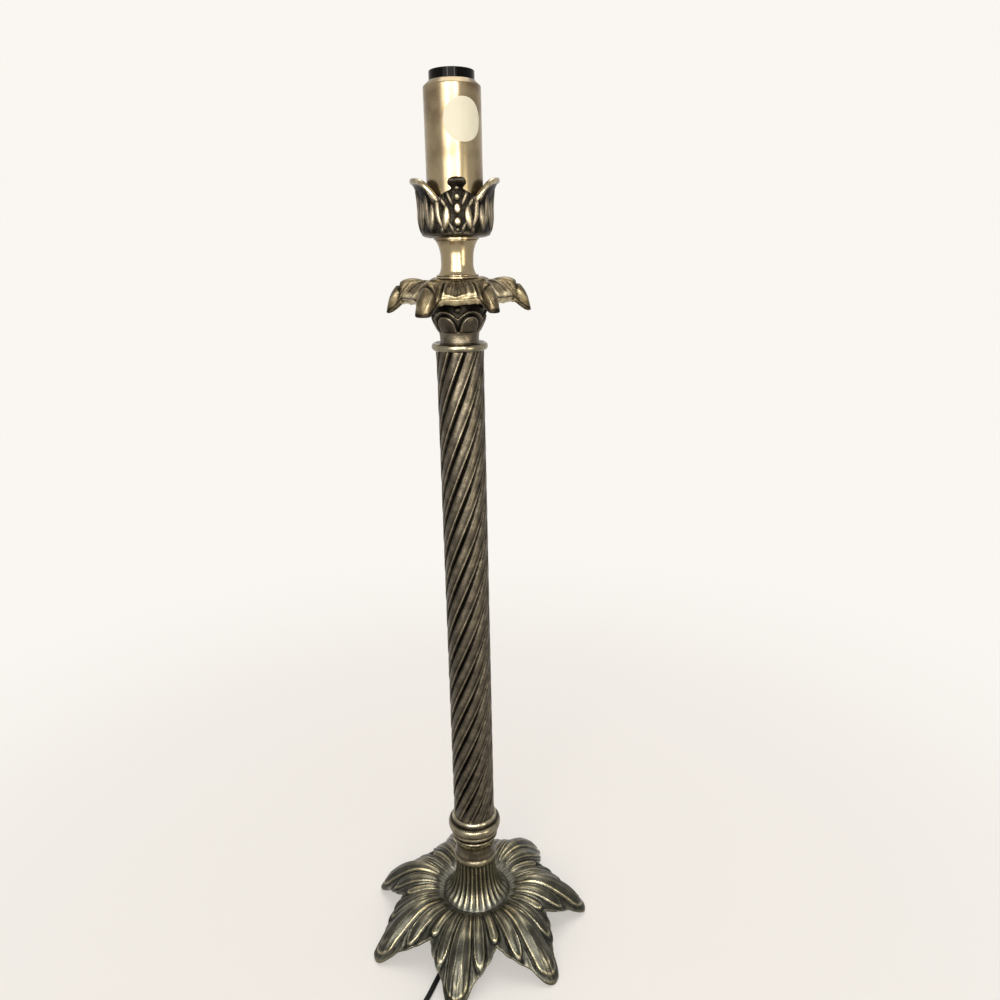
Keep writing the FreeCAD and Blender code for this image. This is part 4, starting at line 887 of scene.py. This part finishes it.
        tongue = np.where(along > self.pan_crease + 0.2, tongue, 2.0)
        border, hollow = bump((tongue - 0.86) * 6.0, 0.6), np.clip(1 - tongue ** 2, 0, 1)
        crease = bump(along - self.pan_crease, 1.0) * (1 - step(6.0, 8.5, across))
        fan = np.sin(np.radians(side) * 66 + 0.4) * step(8.5, 11.0, side) * (1 - step(15.0, 27.0, side))
        lines = np.sin(np.radians(side) * 110) * step(14.0, 18.0, side)
        shape = step(0.1, 0.3, t) * (1 - step(0.93, 1.0, t))
        marks = {"bulge": bulge, "hollow": hollow, "border": border, "crease": crease, "fan": fan,
                 "lines": lines}
        to_rim = (1 - t) * (rim_r - self.hub)
        roll = bump(to_rim - 1.4, 1.9) * step(0.42, 0.6, share)
        height = shape * mixed(marks, self.pan_carved) * (1 - roll) + 0.8 * roll
        wear = self.plain_wear + shape * mixed(marks, self.pan_rubbed)
        wear += 0.5 * roll - 0.5 * bump(to_rim, 0.45)
        normal_r, normal_z = normals(radius, z)
        outer_r, outer_z = radius + normal_r * height, z + normal_z * height
        inner_r = (radius - normal_r * self.pan_wall)[::-1]
        inner_z = (z - normal_z * self.pan_wall - self.pan_lip * t ** 8 * step(0.34, 0.5, share))[::-1]
        turn = np.radians(np.linspace(70.0, -70.0, self.edge_rows))[:, None]
        middle_r, middle_z = (outer_r[-1] + inner_r[0]) / 2, (outer_z[-1] + inner_z[0]) / 2
        half_r, half_z = (outer_r[-1] - inner_r[0]) / 2, (outer_z[-1] - inner_z[0]) / 2
        edge = (middle_r + half_r * np.sin(turn) + 0.6 * normal_z[-1] * np.cos(turn),
                middle_z + half_z * np.sin(turn) - 0.6 * normal_r[-1] * np.cos(turn))
        foot, low = self.pan_foot
        hub = [(self.hub, self.pan_top - self.pan_wall), (foot, self.pan_top - self.pan_wall), (foot, low),
               (self.rod_hole, low), (self.rod_hole, self.pan_top)]
        full_r, full_z = joined([(outer_r, outer_z), edge, (inner_r, inner_z)], hub)
        full_wear = np.full_like(full_r, 0.3)
        full_wear[:rows] = wear
        full_wear[rows:rows + self.edge_rows] = 0.16 + 0.5 * step(0.34, 0.5, share)
        return grid_mesh("drip_pan", polar(full_r, angle[None, :], full_z), np.clip(full_wear, 0, 1))

    def spool_outline(self) -> np.ndarray:
        """The neck's closed outline: foot ring, waist, a thin bead and the flange.

        Returns:
            Its (radius, height) rows, without the first again.
        """
        ring, lower, upper = (bead(*sizes) for sizes in self.spool_beads)
        bore = [(self.rod_hole, self.flange[-1][1]), (self.rod_hole, self.pan_top)]
        return np.concatenate((ring, lower, flowing(self.spool, 40), upper, self.flange, bore))

    def build(self, builder: Builder) -> None:
        """Adds the three pieces.

        Args:
            builder: puts the pieces in the scene.
        """
        spool = spun("neck_spool", self.spool_outline())
        builder.place("Capital", self.capital_mesh(), "cast_brass", Slot.CAST, "capital")
        builder.place("Drip_pan", self.pan_mesh(), "rubbed_brass", Slot.CAST, "bobeche")
        builder.place("Neck_spool", spool, "satin_brass", Slot.SATIN, "neck_spool")


# ---------------------------------------------------------------- cup
@dataclass
class Cup:
    """The candle cup: a narrow beaded leaf at front and back, and a broad one round each side.

    Across is measured round the cup, in millimetres from the middle of the nearer narrow leaf.
    """
    facing: float = 8.4
    bottom: float = 627.0
    seat: float = 630.0
    wall: float = 3.4
    rod_hole: float = 5.15
    quarter: float = 43.7
    body: Points = ((22.0, 627.5), (24.5, 628.3), (26.4, 630.8), (27.1, 635.0), (27.4, 641.0), (27.3, 646.0),
                    (27.8, 652.0), (29.0, 657.6), (30.8, 662.0), (32.9, 668.3))
    # the rim: across, height
    rim: Points = ((0.0, 666.6), (3.0, 666.3), (4.8, 665.4), (5.9, 663.8), (6.7, 662.2), (7.8, 659.6),
                   (9.6, 657.2), (11.6, 655.2), (13.6, 653.8), (15.6, 654.6), (18.4, 657.8), (21.6, 661.6),
                   (24.8, 664.6), (29.0, 666.6), (36.0, 667.6), (43.7, 667.9))
    # where a narrow leaf is drawn in to a neck under its knob: height, reach, share
    neck: tuple[float, float, float] = (659.3, 2.3, 0.5)
    # beads down the middle of a narrow leaf: height, half width, half height, how far they stand out
    beads: tuple = ((659.3, 3.4, 1.3, 1.3), (653.8, 2.3, 2.5, 1.7), (646.3, 2.9, 4.0, 2.3),
                    (637.4, 2.9, 3.5, 2.2), (631.9, 1.7, 1.6, 1.1))
    # the knob on a narrow leaf's tip: height, half height, how far it stands out
    knob: tuple[float, float, float] = (664.2, 2.6, 1.3)
    # flames and lobes beside the beads: across, height, half length, half width, lean in degrees, bend,
    # how far they stand out
    flames: tuple = ((5.4, 652.6, 5.6, 1.5, 26, 0.02, 1.3), (8.4, 640.2, 8.8, 3.2, -7, 0.012, 2.0),
                     (10.8, 650.6, 4.6, 1.7, 34, 0.03, 1.2), (15.2, 643.4, 10.6, 2.2, 9, -0.02, 1.7),
                     (20.6, 640.4, 9.6, 2.6, -5, 0.012, 1.7), (20.4, 655.4, 5.4, 1.8, 24, 0.02, 1.0),
                     (26.4, 644.6, 12.0, 2.4, 6, -0.012, 1.5), (32.4, 642.6, 11.6, 2.9, -4, 0.008, 1.7),
                     (38.4, 646.4, 14.0, 2.3, 2, -0.006, 1.4), (43.7, 645.0, 15.0, 2.2, 0, 0.0, 1.9),
                     (4.6, 633.4, 4.6, 1.6, 24, 0.03, 1.1), (12.4, 631.6, 3.0, 1.7, 0, 0.0, 0.8))
    # across, where a narrow leaf ends and a broad one with its rolled lip begins
    broad_from: tuple[float, float] = (13.0, 17.0)
    lip_height: float = 4.4
    groove: float = 0.9
    # nothing of the cup passes these: radius, height
    most: tuple[float, float] = (33.5, 668.4)
    columns: int = 640
    rows: int = 104

    def relief(self, across: np.ndarray, z: np.ndarray) -> np.ndarray:
        """The beads and flames on the plain cup.

        Args:
            across: millimetres round the cup from the middle of a narrow leaf.
            z: heights.
        Returns:
            How far they stand out, from 0 in the grooves.
        """
        height = np.zeros(np.broadcast_shapes(across.shape, z.shape))
        for centre, half_w, half_h, proud in self.beads:
            q = (across / half_w) ** 2 + ((z - centre) / half_h) ** 2
            height = np.maximum(height, proud * np.sqrt(np.clip(1 - q, 0, 1)))
        for centre, level, length, width, lean, bend, proud in self.flames:
            a = np.radians(lean)
            aside = across - centre - bend * (z - level) ** 2
            u = aside * np.cos(a) - (z - level) * np.sin(a)
            v = aside * np.sin(a) + (z - level) * np.cos(a)
            inside = np.clip(1 - (u / width) ** 2 - (v / length) ** 2, 0, 1)
            height = np.maximum(height, proud * inside ** 0.55)
        return height

    def mesh(self) -> bpy.types.Mesh:
        """The cup, with the rolled lips of its broad leaves and the knobs of its narrow ones.

        Returns:
            Its mesh.
        """
        columns, rows = self.columns, self.rows
        turn = np.arange(columns) * 360.0 / columns
        off = (turn + 90.0) % 180.0 - 90.0
        across = np.abs(off) * self.quarter / 90.0
        rim = through(self.rim, across)
        start = self.body[0][1]
        t = (1 - (1 - np.linspace(0.0, 1.0, rows)) ** 1.25)[:, None]
        z = start + t * (rim - start)
        plain = through([(z_, r) for r, z_ in self.body], z)
        across = across[None, :]
        level, reach, drawn = self.neck
        angle = self.facing + turn - off * drawn * bump(z - level, reach) * (1 - step(8.0, 13.0, across))
        below, broad = rim - z, step(*self.broad_from, across)
        lip = broad * (1 - step(self.lip_height - 1.2, self.lip_height, below)) * step(0.0, 0.5, below + 0.5)
        under_lip = broad * bump(below - 4.6, 0.5)
        knob_z, knob_half, knob_out = self.knob
        knob = bump((z - knob_z) / knob_half, 1.0) * (1 - step(4.6, 6.6, across))
        raised, lower = self.relief(across, z) * (1 - lip), step(0.03, 0.1, t)
        frill = step(5.0, 8.0, across) * (1 - step(14.0, 16.0, across)) * np.clip(1 - below / 6.0, 0.0, 1.0)
        proud = lower * (raised - self.groove) * (1 - lip) * (1 - knob)
        proud += self.groove * lip * np.sin(math.pi * below / self.lip_height) ** 2
        proud += knob_out * knob + 0.35 * under_lip + 0.5 * frill * np.sin(across * 2.4)
        most_r, most_z = self.most
        outer_r = np.minimum(plain + proud, most_r)
        wear = 0.05 + 0.36 * raised * lower + 0.34 * (1 - lower) + 0.66 * lip + 0.3 * under_lip + 0.12 * knob
        inner_r = np.minimum(plain - self.wall, outer_r - 2.0)[::-1]
        inner_z = np.maximum(z[::-1], self.seat + 0.6)
        crest = np.radians(np.array([25.0, 60.0, 90.0, 120.0, 155.0]))[:, None]
        middle, half = (outer_r[-1] + inner_r[0]) / 2, (outer_r[-1] - inner_r[0]) / 2
        crest_r, crest_z = middle + half * np.cos(crest), z[-1] + 0.9 * np.sin(crest) - 0.4
        floor = [(22.6, self.seat + 0.2), (21.4, self.seat), (self.rod_hole, self.seat),
                 (self.rod_hole, self.bottom), (16.9, self.bottom), (20.0, self.bottom + 0.1)]
        crest_z = np.minimum(crest_z, most_z)
        full_r, full_z = joined([(outer_r, z), (crest_r, crest_z), (inner_r, inner_z)], floor)
        full_angle = np.concatenate((angle, np.repeat(angle[-1:], len(crest), 0), angle[::-1],
                                     np.repeat(angle[:1], len(floor), 0)))
        full_wear = np.full_like(full_r, 0.5)
        full_wear[:rows] = wear
        full_wear[rows:rows + len(crest)] = 0.3 + 0.5 * broad
        full_wear[-len(floor):] = 0.3
        return grid_mesh("candle_cup", polar(full_r, full_angle, full_z), np.clip(full_wear, 0, 1))

    def build(self, builder: Builder) -> None:
        """Adds the cup."""
        builder.place("Candle_cup", self.mesh(), "cast_brass", Slot.CAST, "candle_cup")


# ---------------------------------------------------------------- tube and lampholder
@dataclass
class Tube:
    """The brass tube with its paper disc, and the black lampholder that it covers."""
    radius: float = 20.65
    bore: float = 19.85
    seat: float = 630.0
    shoulder: float = 728.6
    top: float = 732.2
    mouth: float = 16.6
    disc_radius: float = 14.5
    disc_turn: float = 27.0
    disc_z: float = 705.0
    disc_thick: float = 0.2
    holder_r: float = 16.3
    holder_top: float = 738.7
    shell_r: float = 13.45
    shell_wall: float = 0.3
    thread_pitch: float = 3.63
    thread_depth: float = 0.22
    shell_low: float = 711.0
    shell_high: float = 735.0
    # the shell's floor: inner and outer radius, height
    shell_floor: tuple[float, float, float] = (6.8, 11.4, 706.0)
    # the lampholder: its lower end, the seat inside, and its narrow and wide bore with the height between
    holder_low: float = 678.7
    holder_seat: float = 686.7
    holder_bores: tuple[float, float, float] = (12.45, 13.95, 703.0)

    def sleeve_outline(self) -> np.ndarray:
        """The tube's closed outline, with its bevel softly rounded at both edges.

        Returns:
            Its (radius, height) rows, without the first again.
        """
        shoulder = flowing(((self.radius, self.shoulder - 0.9), (self.radius - 0.08, self.shoulder - 0.3),
                            (self.radius - 0.4, self.shoulder + 0.35)), 6)
        lip = flowing(((self.mouth + 0.5, self.top - 0.5), (self.mouth + 0.2, self.top - 0.1),
                       (self.mouth, self.top)), 5)
        rest = [(self.mouth, self.top - 1.3), (self.bore, self.shoulder - 0.5), (self.bore, self.seat)]
        return np.concatenate(([(self.radius, self.seat)], shoulder, lip, rest))

    def disc_mesh(self) -> bpy.types.Mesh:
        """The blank paper disc, bent round the tube.

        Returns:
            Its mesh.
        """
        rings, columns = 24, 96
        out = np.linspace(0.01, self.disc_radius, rings)
        radius = np.concatenate((out, out[::-1]))[:, None]
        turn = np.arange(columns) * 2 * math.pi / columns
        lift = np.repeat((self.disc_thick, 0.02), rings)[:, None]
        degrees = self.disc_turn + np.degrees(radius * np.cos(turn) / self.radius)
        height = self.disc_z + radius * np.sin(turn)
        return grid_mesh("paper_disc", polar(self.radius + lift, degrees, height))

    def holder_outline(self) -> np.ndarray:
        """The lampholder's closed outline.

        Returns:
            Its (radius, height) rows, without the first again.
        """
        r, top, low, seat = self.holder_r, self.holder_top, self.holder_low, self.holder_seat
        narrow, wide, ledge = self.holder_bores
        mouth = flowing(((r, top - 0.6), (r - 0.15, top - 0.2), (r - 0.6, top)), 5)
        lip = flowing(((14.5, top), (14.1, top - 0.15), (wide, top - 0.6)), 5)
        outer = [(0.0, low - 10), (11.0, low - 10), (11.0, low), (r - 0.6, low), (r, low + 0.6)]
        inner = [(wide, ledge), (narrow, ledge), (narrow, seat), (0.0, seat)]
        return np.concatenate((outer, mouth, lip, inner))

    def shell_mesh(self) -> bpy.types.Mesh:
        """The screw shell, rolled to its thread and tapered in to its floor.

        Returns:
            Its mesh.
        """
        rows, columns = 110, 96
        z = np.linspace(self.shell_low, self.shell_high, rows)[:, None]
        angle = np.arange(columns)[None, :] * 360.0 / columns
        wave = np.cos(2 * math.pi * (z / self.thread_pitch - angle / 360.0))
        low, high, fade, half = self.shell_low, self.shell_high, 1.5, self.shell_wall / 2
        ends = step(low, low + fade, z) * (1 - step(high - fade, high, z))
        radius, level = self.shell_r + self.thread_depth * wave * ends, z + np.zeros((1, columns))
        inside, outside, floor = self.shell_floor
        ring = np.ones((1, columns))
        grids = [(ring * inside, ring * floor), (ring * outside, ring * floor), (radius + half, level),
                 ((radius - half)[::-1], level[::-1])]
        full_r, full_z = joined(grids, [(outside - 0.4, floor + 0.4), (inside, floor + 0.4)])
        return grid_mesh("screw_shell", polar(full_r, angle, full_z))

    def build(self, builder: Builder) -> None:
        """Adds tube, disc, lampholder and shell.

        Args:
            builder: puts the pieces in the scene.
        """
        sleeve = spun("tube", self.sleeve_outline(), 192)
        holder = spun("lampholder", self.holder_outline(), 160)
        builder.place("Tube", sleeve, "satin_brass", Slot.SATIN, "candle_sleeve")
        builder.place("Paper_disc", self.disc_mesh(), "paper", Slot.PAPER, "sleeve_sticker")
        builder.place("Lampholder", holder, "phenolic", Slot.PHENOLIC, "holder_body")
        builder.place("Threaded_shell", self.shell_mesh(), "shell_metal", Slot.SHELL, "screw_shell")


# ---------------------------------------------------------------- cord
@dataclass
class CordSet:
    """The flat two-core cord on its route, with the tie round its coil."""
    width: float = 4.8
    thick: float = 3.0
    length_m: float = 1.778
    exit_point: tuple[float, float, float] = (0.0, 0.0, 53.0)
    # the route: out of the bushing, along the table to the switch, and on to the coil
    lead: tuple = ((0.0, 0.0, 53.0), (0.0, 0.0, 38.0), (-4.2, -9.5, 20.5), (-11.0, -24.5, 7.2),
                   (-18.0, -40.5, 2.0), (-24.2, -57.0, 1.6), (-29.8, -74.0, 1.6), (-34.6, -91.0, 2.4),
                   (-38.24, -105.67, 6.6), (-40.0, -115.0, 7.0))
    switch_exit: tuple[float, float, float] = (-50.21, -169.04, 7.0)
    tail: tuple = ((-52.35, -180.4, 6.6), (-49.4, -193.2, 4.4), (-41.1, -203.6, 2.6), (-29.0, -208.8, 2.4),
                   (-14.6, -209.7, 2.4), (-4.0, -209.82, 2.4), (3.2, -209.82, 2.4))
    # from the coil up into the plug: distance along, height
    rise: Points = ((7.0, 6.4), (11.0, 8.4), (14.8, 8.6))
    # the coil: its middle, its widest turn, and from one turn to the next
    centre: tuple[float, float] = (8.0, -170.4)
    outer_r: float = 39.42
    pitch: float = 5.3
    layer_turns: float = 4.0 + 1.0 / 12.0
    start: float = -90.0
    low: float = 2.45
    layer_rise: float = 3.2
    points_per_turn: int = 20
    tie_turn: float = 40.0
    tie_width: float = 8.0
    tie_thick: float = 0.5
    tie_beyond: float = 2.9
    tie_roundness: float = 0.32

    def coil(self) -> list[tuple[float, float, float]]:
        """The coil: a spiral inwards, and back outwards on top of it.

        Returns:
            Its control points.
        """
        points = []
        count = round(2 * self.layer_turns * self.points_per_turn)
        for i in range(count + 1):
            turns = 2 * self.layer_turns * i / count
            inward = min(turns, 2 * self.layer_turns - turns)
            s = min(max(2 * (turns - self.layer_turns) + 0.5, 0.0), 1.0)
            a = math.radians(self.start) + 2 * math.pi * turns
            radius = self.outer_r - inward * self.pitch
            points.append((self.centre[0] + radius * math.cos(a), self.centre[1] + radius * math.sin(a),
                           self.low + self.layer_rise * s * s * (3 - 2 * s)))
        return points

    def route(self) -> list[tuple[float, float, float]]:
        """The whole route, from the bushing to the plug.

        Returns:
            Its control points.
        """
        coil = self.coil()
        a = math.radians(self.start) + 4 * math.pi * self.layer_turns
        way = (-math.sin(a), math.cos(a))
        last = coil[-1]
        ends = [(last[0] + way[0] * d, last[1] + way[1] * d, z) for d, z in self.rise]
        return [*self.lead, self.switch_exit, *self.tail, *coil, *ends]

    def centreline(self) -> list[Vector]:
        """The route as a smooth curve.

        Returns:
            Close points on it, in metres.
        """
        curve = bpy.data.curves.new("route", "CURVE")
        curve.dimensions = "3D"
        curve.resolution_u = 5
        spline = curve.splines.new("NURBS")
        route = self.route()
        spline.points.add(len(route) - 1)
        for point, place in zip(spline.points, route):
            point.co = (place[0] * MM, place[1] * MM, place[2] * MM, 1.0)
        spline.order_u = 3
        spline.use_endpoint_u = True
        holder = bpy.data.objects.new("route", curve)
        line = bpy.data.meshes.new_from_object(holder)
        points = [v.co.copy() for v in line.vertices]
        bpy.data.objects.remove(holder)
        bpy.data.meshes.remove(line)
        return points

    def section(self, count: int = 24) -> np.ndarray:
        """The outline of the flat cord: two round cores side by side with a groove between.

        Args:
            count: how many points it gets.
        Returns:
            Its points across and up, in metres.
        """
        turn = np.arange(count) * 2 * math.pi / count
        across = (self.width / 2) * np.cos(turn)
        waist = 1 - 0.28 * bump(across, 0.45)
        up = (self.thick / 2) * np.sign(np.sin(turn)) * np.abs(np.sin(turn)) ** 0.75 * waist
        return np.stack([across, np.where(np.abs(across) < self.width / 2, up, 0.0)], axis=1) * MM

    def cord_mesh(self, line: list[Vector]) -> bpy.types.Mesh:
        """Returns the cord's skin along its middle line, lying flat on the table.

        Args:
            line: close points of the middle line, in metres.
        Returns:
            A closed tube mesh.
        """
        section = self.section()
        side = Vector((1.0, 0.0, 0.0))
        rings = []
        for i, point in enumerate(line):
            along = (line[min(i + 1, len(line) - 1)] - line[max(i - 1, 0)]).normalized()
            flat = Vector((along.y, -along.x, 0.0))
            level = step(0.25, 0.8, np.array(flat.length))
            side = (side - along * side.dot(along)).normalized()
            if flat.length > 0.05:
                if flat.dot(side) < 0:
                    flat = -flat
                side = side.lerp(flat.normalized(), float(level) * 0.5).normalized()
            up = side.cross(along).normalized()
            rings.append([point + side * float(x) + up * float(y) for x, y in section])
        count = len(section)
        verts = [v for ring in rings for v in ring] + [line[0], line[-1]]
        pairs = [(k, (k + 1) % count) for k in range(count)]
        last = (len(rings) - 1) * count
        faces = [(low + k, low + n, low + count + n, low + count + k)
                 for low in range(0, last, count) for k, n in pairs]
        faces += [(n, k, len(verts) - 2) for k, n in pairs]
        faces += [(last + k, last + n, len(verts) - 1) for k, n in pairs]
        mesh = bpy.data.meshes.new("cord")
        mesh.from_pydata(verts, [], faces)
        mesh.shade_smooth()
        return mesh

    def tie_mesh(self) -> bpy.types.Mesh:
        """The strap that goes round all the turns on one side of the coil.

        Returns:
            Its mesh.
        """
        inner_r = self.outer_r - self.layer_turns * self.pitch
        low_x, high_x = inner_r - self.tie_beyond, self.outer_r + self.tie_beyond
        height = self.low + self.layer_rise + self.thick / 2 + 1.0
        centre = np.array([(low_x + high_x) / 2, height / 2])
        half = np.array([(high_x - low_x) / 2, height / 2])
        turn = np.linspace(0, 2 * math.pi, 64, endpoint=False)
        ways = (np.cos(turn), np.sin(turn))
        rounded = np.stack([np.sign(v) * np.abs(v) ** self.tie_roundness for v in ways], axis=1)
        outer, inner = centre + rounded * half, centre + rounded * (half - self.tie_thick)
        edge = self.tie_width / 2
        loops = [(outer, -edge + 0.1), (outer, edge - 0.1), (inner, edge), (inner, -edge)]
        a = math.radians(self.tie_turn)
        rows = []
        for loop, across in loops:
            x = self.centre[0] + loop[:, 0] * math.cos(a) - across * math.sin(a)
            y = self.centre[1] + loop[:, 0] * math.sin(a) + across * math.cos(a)
            rows.append(np.stack([x, y, np.maximum(loop[:, 1], 0.0)], axis=1))
        return grid_mesh("strap", np.array(rows))

    def build(self, builder: Builder) -> None:
        """Args:
            builder: puts the pieces in the scene.
        """
        line = self.centreline()
        cord = builder.place("Cord", self.cord_mesh(line), "cord_pvc", Slot.CORD, "cord_lead", "switch_cord",
                             "cord_tail", "cord_coil", "cord_end")
        strap = builder.place("Coil_strap", self.tie_mesh(), "black_plastic", Slot.PLASTIC, "cord_tie")


# ---------------------------------------------------------------- carried-over pieces
@dataclass
class Fittings:
    """The inner pieces and small fittings whose CAD shape is right, each with its finish."""
    finish_of: dict[str, tuple[str, ...]] = field(default_factory=lambda: {
        "zinc_steel": ("threaded_rod", "cup_washer", "cup_nut", "base_washer", "base_nut", "holder_bracket",
                       "bracket_rivets", "switch_screw", "switch_axle"),
        "contact_brass": ("contact_rivets", "contact_straps", "centre_contact", "terminal_screws",
                          "plug_blades"),
        "fibre": ("holder_insulator",),
        "black_plastic": ("rod_bushing", "switch_bottom", "switch_top", "switch_wheel", "plug_body"),
        "cord_pvc": ("inner_cord", "holder_wires")})

    def build(self, builder: Builder) -> None:
        """Gives each of them its material.

        Args:
            builder: has the finishes.
        """
        for finish, names in self.finish_of.items():
            for name in names:
                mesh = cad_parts[name].data
                mesh.materials.clear()
                mesh.materials.append(builder.finishes.get(finish))
                LOG.info("%s: %s", name, finish)


# ---------------------------------------------------------------- studio
@dataclass
class Lamp:
    """One soft area lamp. A card only shows in polished metal, and lights nothing."""
    name: str
    place: tuple[float, float, float]
    size: tuple[float, float]
    power: float
    colour: str = "#ffffff"
    card: bool = False


@dataclass
class Studio:
    """The camera, a pale floor and soft light."""
    eye: tuple[float, float, float] = (0.06396, -0.6244, 0.6136)
    heading: float = 3.2
    pitch: float = 16.96
    roll: float = 1.0
    lens: float = 28.8
    aim: tuple[float, float, float] = (0.0, 0.0, 0.5)
    # half the floor's side, its two shades, and the haze that it fades into: from and to this far off,
    # and how much of it there is near the lamp
    floor_reach: float = 12.0
    floor_colour: str = "#f7f1ea"
    floor_light: str = "#faf5ee"
    world_colour: str = "#faf6f1"
    world_light: float = 0.42
    shadow_reach: tuple[float, float] = (0.2, 1.0)
    near_share: float = 0.45
    lamps: tuple = (
        Lamp("Key", (-0.12, -1.4, 0.85), (0.85, 1.5), 9.0, "#fff8ea"),
        Lamp("Window_card", (-0.1, -1.4, 0.85), (1.8, 1.5), 30.0, "#fffdf6", True),
        Lamp("Left_card", (-0.34, -1.25, 0.85), (0.045, 1.3), 8.0, "#ffffff", True),
        Lamp("Right_card", (0.46, -1.2, 0.85), (0.045, 1.3), 8.0, "#ffffff", True),
        Lamp("Low_card", (1.05, -0.9, 0.35), (0.35, 0.9), 7.0, "#fff6dc", True),
        Lamp("Top", (0.2, 0.3, 2.2), (1.6, 1.6), 19.0),
    )

    def camera(self) -> None:
        """Adds the camera at the photograph's place."""
        h, p, r = (math.radians(v) for v in (self.heading, self.pitch, self.roll))
        ahead = Vector((-math.sin(h) * math.cos(p), math.cos(h) * math.cos(p), -math.sin(p)))
        right = Vector((math.cos(h), math.sin(h), 0.0))
        up = right.cross(ahead)
        x_axis = right * math.cos(r) - up * math.sin(r)
        y_axis = up * math.cos(r) + right * math.sin(r)
        data = bpy.data.cameras.new("Camera")
        data.lens = self.lens
        data.sensor_width = 36.0
        camera = bpy.data.objects.new("Camera", data)
        turned = Matrix((x_axis, y_axis, -ahead)).transposed().to_4x4()
        camera.matrix_world = Matrix.Translation(self.eye) @ turned
        bpy.context.scene.collection.objects.link(camera)
        bpy.context.scene.camera = camera

    def seen(self, tree: bpy.types.NodeTree) -> bpy.types.NodeSocket:
        """Tells the camera's rays, and those that metal and glass send on, from the light's.

        Args:
            tree: the node tree.
        Returns:
            1 for the first kind and 0 for the others.
        """
        path = add_node(tree, "LightPath").outputs
        ray = path["Is Camera Ray"]
        for kind in ("Is Glossy Ray", "Is Transmission Ray"):
            ray = add_node(tree, "Math", {"operation": "MAXIMUM"}, _0=ray, _1=path[kind]).outputs[0]
        return ray

    def floor(self) -> None:
        """Adds the pale floor: it takes the shadow round the lamp and runs out into the background."""
        mesh = bpy.data.meshes.new("floor")
        far = self.floor_reach
        mesh.from_pydata([(-far, -far, 0), (far, -far, 0), (far, far, 0), (-far, far, 0)], [], [(0, 1, 2, 3)])
        material = bpy.data.materials.new("Painted_floor_matt")
        material.use_nodes = True
        tree = material.node_tree
        tree.nodes.clear()
        place = add_node(tree, "TexCoord").outputs["Object"]
        drift = add_node(tree, "TexNoise", None, Vector=place, Scale=2.0, Detail=2.0)
        colour = add_node(tree, "Mix", {"data_type": "RGBA"}, _0=drift, _6=linear(self.floor_colour),
                          _7=linear(self.floor_light)).outputs[2]
        shader = add_node(tree, "BsdfPrincipled", None, Base_Color=colour, Roughness=0.7)
        away = add_node(tree, "VectorMath", {"operation": "LENGTH"}, _0=place).outputs["Value"]
        start, end = self.shadow_reach
        far_off = add_node(tree, "MapRange", {"interpolation_type": "SMOOTHSTEP"}, Value=away, From_Min=start,
                           From_Max=end, To_Min=self.near_share)
        share = add_node(tree, "Math", {"operation": "MULTIPLY"}, _0=far_off, _1=self.seen(tree))
        haze = add_node(tree, "Emission", None, Color=linear(self.world_colour), Strength=1.0)
        both = add_node(tree, "MixShader", None, _0=share, _1=shader, _2=haze)
        add_node(tree, "OutputMaterial", None, Surface=both)
        floor = bpy.data.objects.new("Floor", mesh)
        floor.data.materials.append(material)
        bpy.context.scene.collection.objects.link(floor)

    def light(self) -> None:
        """Adds the lamps and the world."""
        for lamp in self.lamps:
            data = bpy.data.lights.new(lamp.name, "AREA")
            data.shape = "RECTANGLE"
            data.size, data.size_y = lamp.size
            data.energy = lamp.power
            data.color = linear(lamp.colour)[:3]
            piece = bpy.data.objects.new(lamp.name, data)
            piece.location = lamp.place
            piece.visible_diffuse = not lamp.card
            piece.rotation_euler = (Vector(self.aim) - Vector(lamp.place)).to_track_quat("-Z", "Y").to_euler()
            bpy.context.scene.collection.objects.link(piece)
        world = bpy.data.worlds.new("Studio")
        bpy.context.scene.world = world
        world.use_nodes = True
        tree = world.node_tree
        tree.nodes.clear()
        strength = add_node(tree, "MapRange", None, Value=self.seen(tree), To_Min=self.world_light,
                            To_Max=1.0)
        back = add_node(tree, "Background", None, Color=linear(self.world_colour), Strength=strength)
        add_node(tree, "OutputWorld", None, Surface=back)

    def build(self) -> None:
        """Adds camera, floor and light."""
        self.camera()
        self.floor()
        self.light()
        bpy.context.scene.view_settings.view_transform = "Standard"


def main() -> None:
    """Builds the lamp and its studio."""
    logging.basicConfig(level=logging.INFO, format="%(message)s")
    builder = Builder(Finishes())
    Studio().build()
    CordSet().build(builder)
    for part in (Base(), ColumnStack(), Head(), Cup(), Tube(), Fittings()):
        part.build(builder)


if __name__ == "__main__":
    main()
